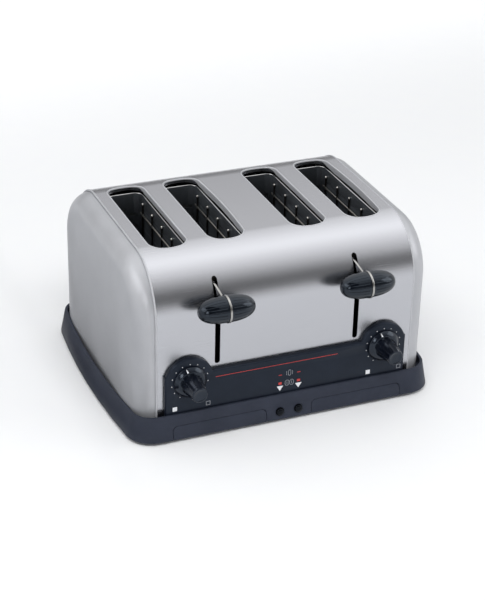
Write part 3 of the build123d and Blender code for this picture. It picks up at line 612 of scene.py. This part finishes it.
def handleRing(share, radius, length, hand, centre):  # round with narrow grooves, at a share of the length
    ring = []
    width = radius * (1 - share ** handle["fullness"]) ** (1 / handle["fullness"])
    fade = math.sqrt(1 - share) * min(1, handle["fadeIn"] * share)
    for groove in range(handle["grooves"]):
        for place in handle["grooveShares"]:
            turn = 2 * math.pi * (groove + place) / handle["grooves"]
            reach = width - (handle["grooveDepth"] * fade if place == 0 else 0)
            ring.append(Vector((centre.x + hand * (handle["plate"] + length * share),
                                centre.y + reach * math.cos(turn), centre.z + reach * math.sin(turn))))
    return ring


def handleHalf(name, part, hand):
    node = f"handle_{part}_{name}"
    low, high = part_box(node)
    radius = (high.z - low.z) / 2
    armLow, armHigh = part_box(f"lever_arm_{name}")
    centre = Vector(((armLow.x + armHigh.x) / 2, (low.y + high.y) / 2, (low.z + high.z) / 2))
    length = max(abs(high.x - centre.x), abs(low.x - centre.x)) - handle["plate"]
    shares = [handle["tip"] * math.sin(turn) for turn in quarterTurns(handle["along"])]
    rings = [handleRing(share, radius, length / handle["tip"], hand, centre) for share in shares]
    mesh = meshFrom(f"handleGrip.{part}.{name}", pointsOf(rings), closedLoft(rings))
    addPiece(f"handle_grip_{part}_{name}", mesh, "handle_plastic", f"{name}_lever", node)


for name, side in sides.items():
    handleHalf(name, "outer", side)
    handleHalf(name, "inner", -side)
print("handles made")


# Dials

knob = {"flutes": 10, "fluteShare": 0.13, "tipFluteShare": 0.07, "crownFluteShare": 0.02, "gripSteps": 14,
        "flutePlaces": (0, 0.05, 0.13, 0.25, 0.38, 0.5, 0.62, 0.75, 0.87, 0.95), "smooth": 75,
        "skirt": ((15.1, 0), (15.5, 0.3), (15.5, 1.2)), "cone": ((15.3, 1.55), (12.3, 3.95)),
        "shoulder": ((11.9, 4.2), (10.9, 4.3)), "gripLow": (10.5, 4.4), "gripHigh": (7.5, 24.6),
        "crown": ((7.3, 25.1), (6.9, 25.4), (6.3, 25.5), (5.9, 25.45), (5.6, 25.2), (2.2, 25.15)),
        "pointerTurn": math.radians(106.7), "pointerFrom": 12.2, "pointerTo": 14.9, "pointerHalf": 0.75,
        "pointerTip": 0.15, "pointerSink": -0.1, "pointerRise": 0.12}  # millimetres, radius before height


def knobRing(centre, radius, height, fluteShare):
    ring = []
    for flute in range(knob["flutes"]):
        for place in knob["flutePlaces"]:
            turn = 2 * math.pi * (flute + place) / knob["flutes"]
            reach = radius * (1 - fluteShare * math.sin(math.pi * place)) * mm
            ring.append(Vector((centre.x + reach * math.cos(turn), centre.y - height * mm,
                                centre.z + reach * math.sin(turn))))
    return ring


def dialKnob(name):
    node = f"dial_knob_{name}"
    low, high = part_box(node)
    centre = Vector(((low.x + high.x) / 2, high.y, (low.z + high.z) / 2))
    plain = knob["skirt"] + knob["cone"] + knob["shoulder"]
    rings = [knobRing(centre, radius, height, 0) for radius, height in plain]
    for step in range(knob["gripSteps"] + 1):
        share = step / knob["gripSteps"]
        place = [blended(first, last, share) for first, last in zip(knob["gripLow"], knob["gripHigh"])]
        rings.append(knobRing(centre, *place, blended(knob["fluteShare"], knob["tipFluteShare"], share)))
    rings += [knobRing(centre, *place, knob["crownFluteShare"]) for place in knob["crown"]]
    mesh = meshFrom(f"dialGrip.{name}", pointsOf(rings), closedLoft(rings), knob["smooth"])
    addPiece(f"dial_grip_{name}", mesh, "knob_plastic", f"{name}_dial", node)
    return centre


def conePoint(centre, radius, across, rise):  # a point on the skirt's cone beside the pointer's line
    (wide, low), (narrow, high) = knob["cone"]
    height = low + (wide - radius) / (wide - narrow) * (high - low) + rise
    along = Vector((math.cos(knob["pointerTurn"]), 0, math.sin(knob["pointerTurn"])))
    aside = Vector((-along.z, 0, along.x))
    return centre + (along * radius + aside * across) * mm + Vector((0, -height * mm, 0))


def dialPointer(name, centre):
    outline = ((knob["pointerFrom"], knob["pointerHalf"]), (knob["pointerTo"], knob["pointerTip"]),
               (knob["pointerTo"], -knob["pointerTip"]), (knob["pointerFrom"], -knob["pointerHalf"]))
    low = [conePoint(centre, *place, knob["pointerSink"]) for place in outline]
    high = [conePoint(centre, *place, knob["pointerRise"]) for place in outline]
    mesh = meshFrom(f"dialPointer.{name}", low + high, closedLoft([low, high]), flatAngle)
    addPiece(f"dial_pointer_{name}", mesh, "knob_plastic", f"{name}_dial", material=printWhite)


dialCentres = {}
for name in sides:
    dialCentres[name] = dialKnob(name)
    dialPointer(name, dialCentres[name])
print("dials made")


# Push buttons

button = {"around": 48, "stem": 2.0, "neck": 6.1, "smooth": 35,
          "profile": ((3.75, 6.0), (3.75, 1.9), (3.66, 1.3), (3.35, 0.75), (2.8, 0.35), (2.0, 0.12),
                      (1.1, 0.03), (0.35, 0))}  # millimetres, radius before depth


def pushButton(name):
    node = f"push_button_{name}"
    low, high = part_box(node)
    centre = Vector(((low.x + high.x) / 2, low.y, (low.z + high.z) / 2))
    across, upward = Vector((1, 0, 0)), Vector((0, 0, 1))
    rings = []
    stem = ((button["stem"], (high.y - low.y) / mm), (button["stem"], button["neck"]))
    for radius, depth in stem + button["profile"]:
        middle = centre + Vector((0, depth * mm, 0))
        rings.append(roundRing(middle, radius * mm, button["around"], across, upward))
    mesh = meshFrom(f"buttonHead.{name}", pointsOf(rings), closedLoft(rings), button["smooth"])
    addPiece(f"button_head_{name}", mesh, "control_black", f"{name}_button", node)


for name in sides:
    pushButton(name)
print("buttons made")


# Bread guards, wells' rims and lift springs

def startTree(name, count, lengths):  # a tree that takes a count, lengths and a material
    tree = bpy.data.node_groups.new(name, "GeometryNodeTree")
    kinds = {count: "NodeSocketInt", **{label: "NodeSocketFloat" for label in lengths},
             "Material": "NodeSocketMaterial"}
    for label, kind in kinds.items():
        tree.interface.new_socket(label, in_out="INPUT", socket_type=kind)
    tree.interface.new_socket("Geometry", in_out="OUTPUT", socket_type="NodeSocketGeometry")
    return tree, addNode(tree, "NodeGroupInput").outputs


def endTree(tree, source, material):  # real copies in one material
    real = addNode(tree, "GeometryNodeRealizeInstances", {"Geometry": source}).outputs["Geometry"]
    painted = addNode(tree, "GeometryNodeSetMaterial", {"Geometry": real, "Material": material})
    addNode(tree, "NodeGroupOutput", {"Geometry": painted.outputs["Geometry"]})
    return tree


def guardTree(wireSides=10, tipRings=6):  # upright wires in a row, joined by two long wires
    lengths = ("Pitch", "Height", "Reach", "Radius", "Low Rail", "High Rail", "Tip Radius")
    tree, inside = startTree("wireGuard", "Uprights", lengths)
    circle = {"Resolution": wireSides, "Radius": inside["Radius"]}
    section = addNode(tree, "GeometryNodeCurvePrimitiveCircle", circle).outputs["Curve"]

    def wire(start, end):
        line = addNode(tree, "GeometryNodeCurvePrimitiveLine", {"Start": start, "End": end}).outputs["Curve"]
        inputs = {"Curve": line, "Profile Curve": section, "Fill Caps": True}
        return addNode(tree, "GeometryNodeCurveToMesh", inputs).outputs["Mesh"]

    def spot(axes):
        return addNode(tree, "ShaderNodeCombineXYZ", axes).outputs["Vector"]

    backward = addMath(tree, "MULTIPLY", inside["Reach"], -1.0)
    gaps = addMath(tree, "SUBTRACT", inside["Uprights"], 1.0)
    firstY = addMath(tree, "MULTIPLY", addMath(tree, "MULTIPLY", gaps, inside["Pitch"]), -0.5)
    wireTop = addMath(tree, "SUBTRACT", inside["Height"], inside["Radius"])
    tipLevel = addMath(tree, "SUBTRACT", inside["Height"], inside["Tip Radius"])
    row = addNode(tree, "GeometryNodeMeshLine", {
        "Count": inside["Uprights"], "Start Location": spot({"Y": firstY}),
        "Offset": spot({"Y": inside["Pitch"]})}).outputs["Mesh"]
    ball = addNode(tree, "GeometryNodeMeshUVSphere", {
        "Segments": wireSides, "Rings": tipRings, "Radius": inside["Tip Radius"]}).outputs["Mesh"]
    tip = addNode(tree, "GeometryNodeTransform", {"Geometry": ball, "Translation": spot({"Z": tipLevel})})
    joined = addNode(tree, "GeometryNodeJoinGeometry")
    for shape in (wire(spot({}), spot({"Z": wireTop})), tip.outputs["Geometry"]):
        spread = addNode(tree, "GeometryNodeInstanceOnPoints", {"Points": row, "Instance": shape})
        fill(tree, joined, {"Geometry": spread.outputs["Instances"]})
    for level in ("Low Rail", "High Rail"):
        ends = [spot({"Y": reach, "Z": inside[level]}) for reach in (backward, inside["Reach"])]
        fill(tree, joined, {"Geometry": wire(*ends)})
    return endTree(tree, joined.outputs["Geometry"], inside["Material"])


def grown(name, tree, values):  # mesh that a node tree makes from named values
    carrier = addObject(name, bpy.data.meshes.new(name))
    modifier = carrier.modifiers.new(name, "NODES")
    modifier.node_group = tree
    sockets = {item.name: item.identifier for item in tree.interface.items_tree if item.in_out == "INPUT"}
    for label, value in values.items():
        modifier[sockets[label]] = value
    carrier.update_tag()
    bpy.context.view_layer.update()
    seen = carrier.evaluated_get(bpy.context.evaluated_depsgraph_get())
    mesh = bpy.data.meshes.new_from_object(seen)
    carrier.modifiers.remove(modifier)
    bpy.data.objects.remove(carrier)
    return mesh


def placedCopies(name, mesh, moves):  # one mesh of copies, each moved by its own matrix
    form = bmesh.new()
    for move in moves:
        copy = mesh.copy()
        copy.transform(move)
        form.from_mesh(copy)
        bpy.data.meshes.remove(copy)
    whole = bpy.data.meshes.new(name)
    form.to_mesh(whole)
    form.free()
    return smoothed(whole, smoothAngle)


guard = {"Uprights": 5, "Pitch": 0.0266, "Radius": 0.0009, "Low Rail": 0.006, "High Rail": 0.116,
         "Tip Radius": 0.0012}
guardNodes = [f"bread_guard_{number}_{name}" for number in slotNumbers for name in sides]
guardBoxes = [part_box(node) for node in guardNodes]
guard["Height"] = guardBoxes[0][1].z - guardBoxes[0][0].z
guard["Reach"] = (guardBoxes[0][1].y - guardBoxes[0][0].y) / 2
guard["Material"] = materials["wire_steel"]
guardMesh = grown("wireGuard", guardTree(), guard)
guardMoves = [Matrix.Translation(((low.x + high.x) / 2, middleY, low.z)) for low, high in guardBoxes]
guards = placedCopies("breadGuards", guardMesh, guardMoves)
addPiece("bread_guard_wires", guards, "wire_steel", "housing", *guardNodes)

rim = {"inset": 0.0009, "radius": 0.0008, "corner": 0.0074, "cornerSteps": 10, "sides": 10, "sink": 0.0003}


def roundedLoop(low, high, level):  # rectangle with round corners
    loop = []
    half = Vector(((high.x - low.x) / 2 - rim["inset"], (high.y - low.y) / 2 - rim["inset"]))
    middle = Vector(((low.x + high.x) / 2, (low.y + high.y) / 2))
    for quarter, (handX, handY) in enumerate(((1, 1), (-1, 1), (-1, -1), (1, -1))):
        cornerX = middle.x + handX * (half.x - rim["corner"])
        cornerY = middle.y + handY * (half.y - rim["corner"])
        for turn in quarterTurns(rim["cornerSteps"], quarter):
            loop.append(Vector((cornerX + rim["corner"] * math.cos(turn),
                                cornerY + rim["corner"] * math.sin(turn), level)))
    return loop


points, faces = [], []
for number in slotNumbers:
    low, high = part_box(f"toast_well_{number}")
    loop = roundedLoop(low, high, high.z - rim["sink"])
    rings = tubeRings(loop, [Vector((0, 0, 1))] * len(loop), rim["radius"], rim["sides"], True)
    faces += ringFaces(len(rings), rim["sides"], len(points))
    points += pointsOf(rings)
addPiece("well_rims", meshFrom("wellRims", points, faces), "bright_steel", "housing")

spring = {"turns": 15, "perTurn": 18, "wire": 0.0008, "sides": 8, "keep": 0.43}


def liftSpring(name):
    node = f"lift_spring_{name}"
    low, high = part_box(node)
    radius = (high.x - low.x) / 2 - spring["wire"]
    middle = (low + high) / 2
    path, ups = [], []
    steps = spring["turns"] * spring["perTurn"]
    for step in range(steps + 1):
        turn = 2 * math.pi * step / spring["perTurn"]
        out = Vector((math.cos(turn), math.sin(turn), 0))
        level = low.z + spring["wire"] + (high.z - low.z - 2 * spring["wire"]) * step / steps
        path.append(Vector((middle.x, middle.y, level)) + out * radius)
        ups.append(out)
    rings = tubeRings(path, ups, spring["wire"], spring["sides"], False)
    mesh = meshFrom(f"liftCoil.{name}", pointsOf(rings), closedLoft(rings))
    piece = addPiece(f"lift_coil_{name}", mesh, "bright_steel", "housing", node)
    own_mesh(piece)


for name in sides:
    liftSpring(name)
print("wires, rims and springs made")


# Marks printed on the control panel

marks = {"thickness": 0.00012, "dotRadius": 0.00043, "dots": 13, "dotReach": 0.0173,
         "dotStart": math.radians(237), "dotStep": math.radians(-24.5),
         "squareHalf": 0.0021, "squareLevel": 0.0313, "squareLeft": -0.0142, "squareRight": 0.0176,
         "frame": 0.0005, "tickLowHalf": 0.0012, "tickHighHalf": 0.00035, "waveShare": 0.7,
         "stripeLevel": 0.0572, "stripeFrom": -0.0708, "stripeTo": 0.049, "stripeHalf": 0.00022,
         "middle": 0.0014, "triangleLevel": 0.0318, "triangleHalf": 0.0032, "triangleHeight": 0.0051,
         "tickHalf": 0.0016, "tickLow": 0.0371, "tickHigh": 0.0458, "sliceLevel": 0.0468, "ringLevel": 0.0366,
         "sliceHalf": 0.0014, "sliceReach": 0.0031, "waveOut": 0.0029, "ringHalf": 0.0021, "ringReach": 0.003,
         "ringOut": 0.0023, "line": 0.00042}
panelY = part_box("control_panel")[0].y
buttonX = (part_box("push_button_right")[0].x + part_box("push_button_right")[1].x) / 2


def dotTree(dotSides=20):  # round dots along an arc
    tree, inside = startTree("dialDots", "Dots", ("Reach", "Start", "Step", "Dot Radius", "Thickness"))
    index = addNode(tree, "GeometryNodeInputIndex").outputs["Index"]
    turn = addMath(tree, "MULTIPLY_ADD", index, inside["Step"], inside["Start"])
    across = addMath(tree, "MULTIPLY", addMath(tree, "COSINE", turn), inside["Reach"])
    upward = addMath(tree, "MULTIPLY", addMath(tree, "SINE", turn), inside["Reach"])
    spot = addNode(tree, "ShaderNodeCombineXYZ", {"X": across, "Z": upward}).outputs["Vector"]
    cloud = addNode(tree, "GeometryNodePoints", {"Count": inside["Dots"], "Position": spot})
    dot = addNode(tree, "GeometryNodeMeshCylinder", {
        "Vertices": dotSides, "Radius": inside["Dot Radius"], "Depth": inside["Thickness"]})
    spread = addNode(tree, "GeometryNodeInstanceOnPoints", {
        "Points": cloud.outputs["Points"], "Instance": dot.outputs["Mesh"], "Rotation": (math.pi / 2, 0, 0)})
    return endTree(tree, spread.outputs["Instances"], inside["Material"])


def plated(points, faces, outline):  # adds a thin plate on the panel's face
    start = len(points)
    low = [Vector((x, panelY + marks["thickness"], z)) for x, z in outline]
    high = [Vector((x, panelY - marks["thickness"], z)) for x, z in outline]
    points += low + high
    faces += closedLoft([low, high], start)


def framed(points, faces, outer, inner):  # adds a thin frame between two outlines of as many points
    start = len(points)
    outlines = ((outer, 1), (outer, -1), (inner, -1), (inner, 1))
    for outline, side in outlines:
        points += [Vector((x, panelY + side * marks["thickness"], z)) for x, z in outline]
    faces += ringFaces(len(outlines), len(outer), start)


def boxed(x, z, halfX, halfZ):
    return [(x - halfX, z - halfZ), (x + halfX, z - halfZ), (x + halfX, z + halfZ), (x - halfX, z + halfZ)]


def capsule(x, z, halfX, halfZ, steps=8):  # upright outline with round ends
    outline = []
    for hand in (1, -1):
        for step in range(steps + 1):
            turn = math.pi * step / steps
            rise = halfZ - halfX + halfX * math.sin(turn)
            outline.append((x + hand * halfX * math.cos(turn), z + hand * rise))
    return outline


def lined(points, faces, x, z, halfX, halfZ):  # adds a capsule drawn as a line
    line = marks["line"]
    framed(points, faces, capsule(x, z, halfX, halfZ), capsule(x, z, halfX - line, halfZ - line))


def addMarks(name, meshName, points, faces, paint):
    addPiece(name, meshFrom(meshName, points, faces, flatAngle), "panel_plastic", "housing", material=paint)


dotValues = {"Dots": marks["dots"], "Reach": marks["dotReach"], "Start": marks["dotStart"],
             "Step": marks["dotStep"], "Dot Radius": marks["dotRadius"],
             "Thickness": 2 * marks["thickness"], "Material": printWhite}
dotMesh = grown("dialDots", dotTree(), dotValues)
dotMoves = [Matrix.Translation((centre.x, panelY, centre.z)) for centre in dialCentres.values()]
dots = placedCopies("dialDots", dotMesh, dotMoves)
addPiece("dial_dots", dots, "panel_plastic", "housing", material=printWhite)

points, faces = [], []
middle, level, half = marks["middle"], marks["squareLevel"], marks["squareHalf"]
low = marks["triangleLevel"] - marks["triangleHeight"] / 2
high = low + marks["triangleHeight"]
for centre in dialCentres.values():
    plated(points, faces, boxed(centre.x + marks["squareLeft"], level, half, half))
for side in sides.values():
    x = middle + side * buttonX
    plated(points, faces, [(x, low), (x + marks["triangleHalf"], high), (x - marks["triangleHalf"], high)])
addMarks("panel_white_marks", "whiteMarks", points, faces, printWhite)

points, faces = [], []
stroke, waveReach = marks["line"] / 2, marks["sliceReach"] * marks["waveShare"]
for centre in dialCentres.values():
    x = centre.x + marks["squareRight"]
    squares = [boxed(x, level, size, size) for size in (half, half - marks["frame"])]
    framed(points, faces, *squares)
lined(points, faces, middle, marks["sliceLevel"], marks["sliceHalf"], marks["sliceReach"])
for side in sides.values():
    wave, ring = middle + side * marks["waveOut"], middle + side * marks["ringOut"]
    plated(points, faces, capsule(wave, marks["sliceLevel"], stroke, waveReach))
    lined(points, faces, ring, marks["ringLevel"], marks["ringHalf"], marks["ringReach"])
    plated(points, faces, capsule(ring, marks["ringLevel"], stroke, marks["ringReach"] / 2))
addMarks("panel_grey_marks", "greyMarks", points, faces, printGrey)

points, faces = [], []
stripeMiddle = (marks["stripeFrom"] + marks["stripeTo"]) / 2
stripeReach = (marks["stripeTo"] - marks["stripeFrom"]) / 2
plated(points, faces, boxed(stripeMiddle, marks["stripeLevel"], stripeReach, marks["stripeHalf"]))
for side in sides.values():
    x = middle + side * buttonX
    plated(points, faces, boxed(x, marks["tickLow"], marks["tickHalf"], marks["tickLowHalf"]))
    plated(points, faces, boxed(x, marks["tickHigh"], marks["tickHalf"], marks["tickHighHalf"]))
addMarks("panel_red_marks", "redMarks", points, faces, printRed)
print("marks made")


# Studio

studio = {"floorReach": 6.0, "floorDrop": 0.0002, "tentRadius": 2.6, "tentHalf": 4.0, "tentSteps": 72}
tentTones = ((0, 1.0), (6, 0.7), (12, 0.3), (20, 0.17), (29, 0.17), (38, 0.38), (50, 0.72), (62, 1.08),
             (76, 1.4), (92, 1.75), (108, 1.55), (124, 1.3), (140, 1.12), (147, 0.98), (153, 0.55),
             (160, 0.32), (180, 0.3))  # degrees from the front floor over the top, light
tentSide = {"tone": 1.0, "from": -1.4, "to": -2.2, "most": 2.0}  # plain light to the left of the part
cards = {"glintCard": {"turn": -39, "lift": 24, "away": 2.0, "half": (0.2, 0.28), "tone": 6.0},
         "sideCard": {"turn": -84, "lift": 41, "away": 2.0, "half": (0.85, 0.38), "tone": 2.7},
         "darkCard": {"turn": -33, "lift": 40, "away": 2.3, "half": (1.25, 1.6), "tone": 0.05}}
floorCard = {"centre": (-0.56, 0.35, 0.0005), "half": (0.38, 0.55)}
baseCard = {"centre": (-0.177, 0.12, 0.0008), "half": (0.019, 0.3), "tone": 0.05}
lamps = {"keyLamp": {"place": (-0.5, -1.1, 1.9), "target": (0, 0, 0.1), "power": 24.0, "size": (2.2, 0.7)},
         "fillLamp": {"place": (1.9, -1.0, 1.1), "target": (0, 0, 0.1), "power": 9.0, "size": (1.2, 1.2),
                      "glossy": True},
         "backLamp": {"place": (-1.7, 0.9, 1.5), "target": (0, 0, 0.1), "power": 5.6, "size": (2.4, 0.8)},
         "floorLamp": {"place": (0.35, 1.15, 0.7), "target": (0.35, 1.15, 0), "power": 1.8,
                       "size": (2.6, 0.7), "spread": 70}}
sky = {"plain": {"Color": (1, 1, 1, 1), "Strength": 1.0},
       "soft": {"Color": (0.96, 0.98, 1, 1), "Strength": 0.62}}


def glowPaper(name, tone):
    material = bpy.data.materials.new(name)
    material.use_nodes = True
    tree = material.node_tree
    tree.nodes.clear()
    glow = addNode(tree, "ShaderNodeEmission", {"Strength": tone}, name="glow")
    addNode(tree, "ShaderNodeOutputMaterial", {"Surface": glow.outputs["Emission"]})
    return material


def tentPaper():  # light of the tent by the angle from the front floor over the top to the back
    material = glowPaper("tentPaper", tentSide["most"])
    tree = material.node_tree
    axes = objectAxes(tree)
    angle = addMath(tree, "ARCTAN2", axes["Z"], addMath(tree, "MULTIPLY", axes["Y"], -1.0))
    ramp = addNode(tree, "ShaderNodeValToRGB", {"Fac": addMath(tree, "DIVIDE", angle, math.pi)})
    stops = ramp.color_ramp.elements
    while len(stops) < len(tentTones):
        stops.new(0.5)
    for stop, (degrees, tone) in zip(stops, tentTones):
        stop.position = degrees / 180
        stop.color = (tone / tentSide["most"],) * 3 + (1,)
    inputs = {"Value": axes["X"], "From Min": tentSide["from"], "From Max": tentSide["to"]}
    aside = addNode(tree, "ShaderNodeMapRange", inputs).outputs["Result"]
    plain = (tentSide["tone"] / tentSide["most"],) * 3 + (1,)
    fill(tree, tree.nodes["glow"], {"Color": addMix(tree, "RGBA", aside, ramp.outputs["Color"], plain)})
    return material


def addStage(name, mesh, material, seen):  # a stage piece, seen by the camera or only as a reflection
    mesh.materials.append(material)
    thing = addObject(name, mesh)
    if not seen:
        thing.visible_camera = False
        thing.visible_shadow = False
        thing.visible_diffuse = False


def lightTent():  # arch of paper over the part
    points = []
    for step in range(studio["tentSteps"] + 1):
        turn = math.pi * step / studio["tentSteps"]
        for x in (-studio["tentHalf"], studio["tentHalf"]):
            points.append((x, -studio["tentRadius"] * math.cos(turn), studio["tentRadius"] * math.sin(turn)))
    mesh = rawMesh("lightTent", points, bandFaces(studio["tentSteps"] + 1, 2, 0, False))
    addStage("lightTent", mesh, tentPaper(), False)


def addPlane(name, centre, first, second, material, seen=False):
    corners = [centre - first - second, centre + first - second,
               centre + first + second, centre - first + second]
    addStage(name, rawMesh(name, corners, [(0, 1, 2, 3)]), material, seen)


def levelPlane(name, centre, half, material, seen=False):
    addPlane(name, Vector(centre), Vector((half[0], 0, 0)), Vector((0, half[1], 0)), material, seen)


def facingCard(name, values):  # card that faces the part from a bearing and a height in degrees
    turn, lift = math.radians(values["turn"]), math.radians(values["lift"])
    outward = Vector((math.sin(turn) * math.cos(lift), -math.cos(turn) * math.cos(lift), math.sin(lift)))
    across = Vector((math.cos(turn), math.sin(turn), 0))
    upward = across.cross(-outward)
    addPlane(name, outward * values["away"], across * values["half"][0], upward * values["half"][1],
             glowPaper(f"{name}Paper", values["tone"]))


def addLamp(name, values):
    lamp = bpy.data.lights.new(name, "AREA")
    lamp.shape = "RECTANGLE"
    lamp.energy = values["power"]
    lamp.size, lamp.size_y = values["size"]
    lamp.spread = math.radians(values.get("spread", 180))
    thing = addObject(name, lamp)
    thing.location = values["place"]
    aim = Vector(values["target"]) - Vector(values["place"])
    thing.rotation_euler = aim.to_track_quat("-Z", "Y").to_euler()
    thing.visible_glossy = values.get("glossy", False)


def matPaper(name, dark, light):
    return moulded(name, dark, light, (0.75, 0.85), 700.0, 0.02)


floorPaper = matPaper("floorPaper", (247, 247, 248), (248, 248, 248))
cardPaper = matPaper("cardPaper", (192, 193, 195), (200, 201, 203))
levelPlane("floor", (0, 0, -studio["floorDrop"]), (studio["floorReach"],) * 2, floorPaper, True)
lightTent()
levelPlane("floorCard", floorCard["centre"], floorCard["half"], cardPaper)
levelPlane("baseCard", baseCard["centre"], baseCard["half"], glowPaper("basePaper", baseCard["tone"]))
for name, values in cards.items():
    facingCard(name, values)
for name, values in lamps.items():
    addLamp(name, values)

world = bpy.data.worlds.new("studio")
bpy.context.scene.world = world
world.use_nodes = True
tree = world.node_tree
tree.nodes.clear()
rays = addNode(tree, "ShaderNodeLightPath").outputs
seen = addMath(tree, "ADD", rays["Is Camera Ray"], rays["Is Glossy Ray"])
either = addMath(tree, "ADD", seen, rays["Is Transmission Ray"], use_clamp=True)
plain = addNode(tree, "ShaderNodeBackground", sky["plain"]).outputs["Background"]
soft = addNode(tree, "ShaderNodeBackground", sky["soft"]).outputs["Background"]
mixed = addNode(tree, "ShaderNodeMixShader", {"Fac": either, 1: soft, 2: plain})
addNode(tree, "ShaderNodeOutputWorld", {"Surface": mixed.outputs["Shader"]})

view = {"eye": (-0.5385, -1.2748, 0.8081), "right": (0.92594, -0.37705, 0.02173),
        "up": (0.16013, 0.44403, 0.88160), "back": (-0.34206, -0.81282, 0.47152),
        "lens": 98.55, "sensor": 36.0}
camera = addObject("camera", bpy.data.cameras.new("camera"))
camera.data.sensor_fit = "VERTICAL"
camera.data.sensor_height = view["sensor"]
camera.data.lens = view["lens"]
turned = Matrix((view["right"], view["up"], view["back"])).transposed().to_4x4()
camera.matrix_world = Matrix.Translation(view["eye"]) @ turned
bpy.context.scene.camera = camera
bpy.context.scene.view_settings.view_transform = "Standard"
print("studio made")
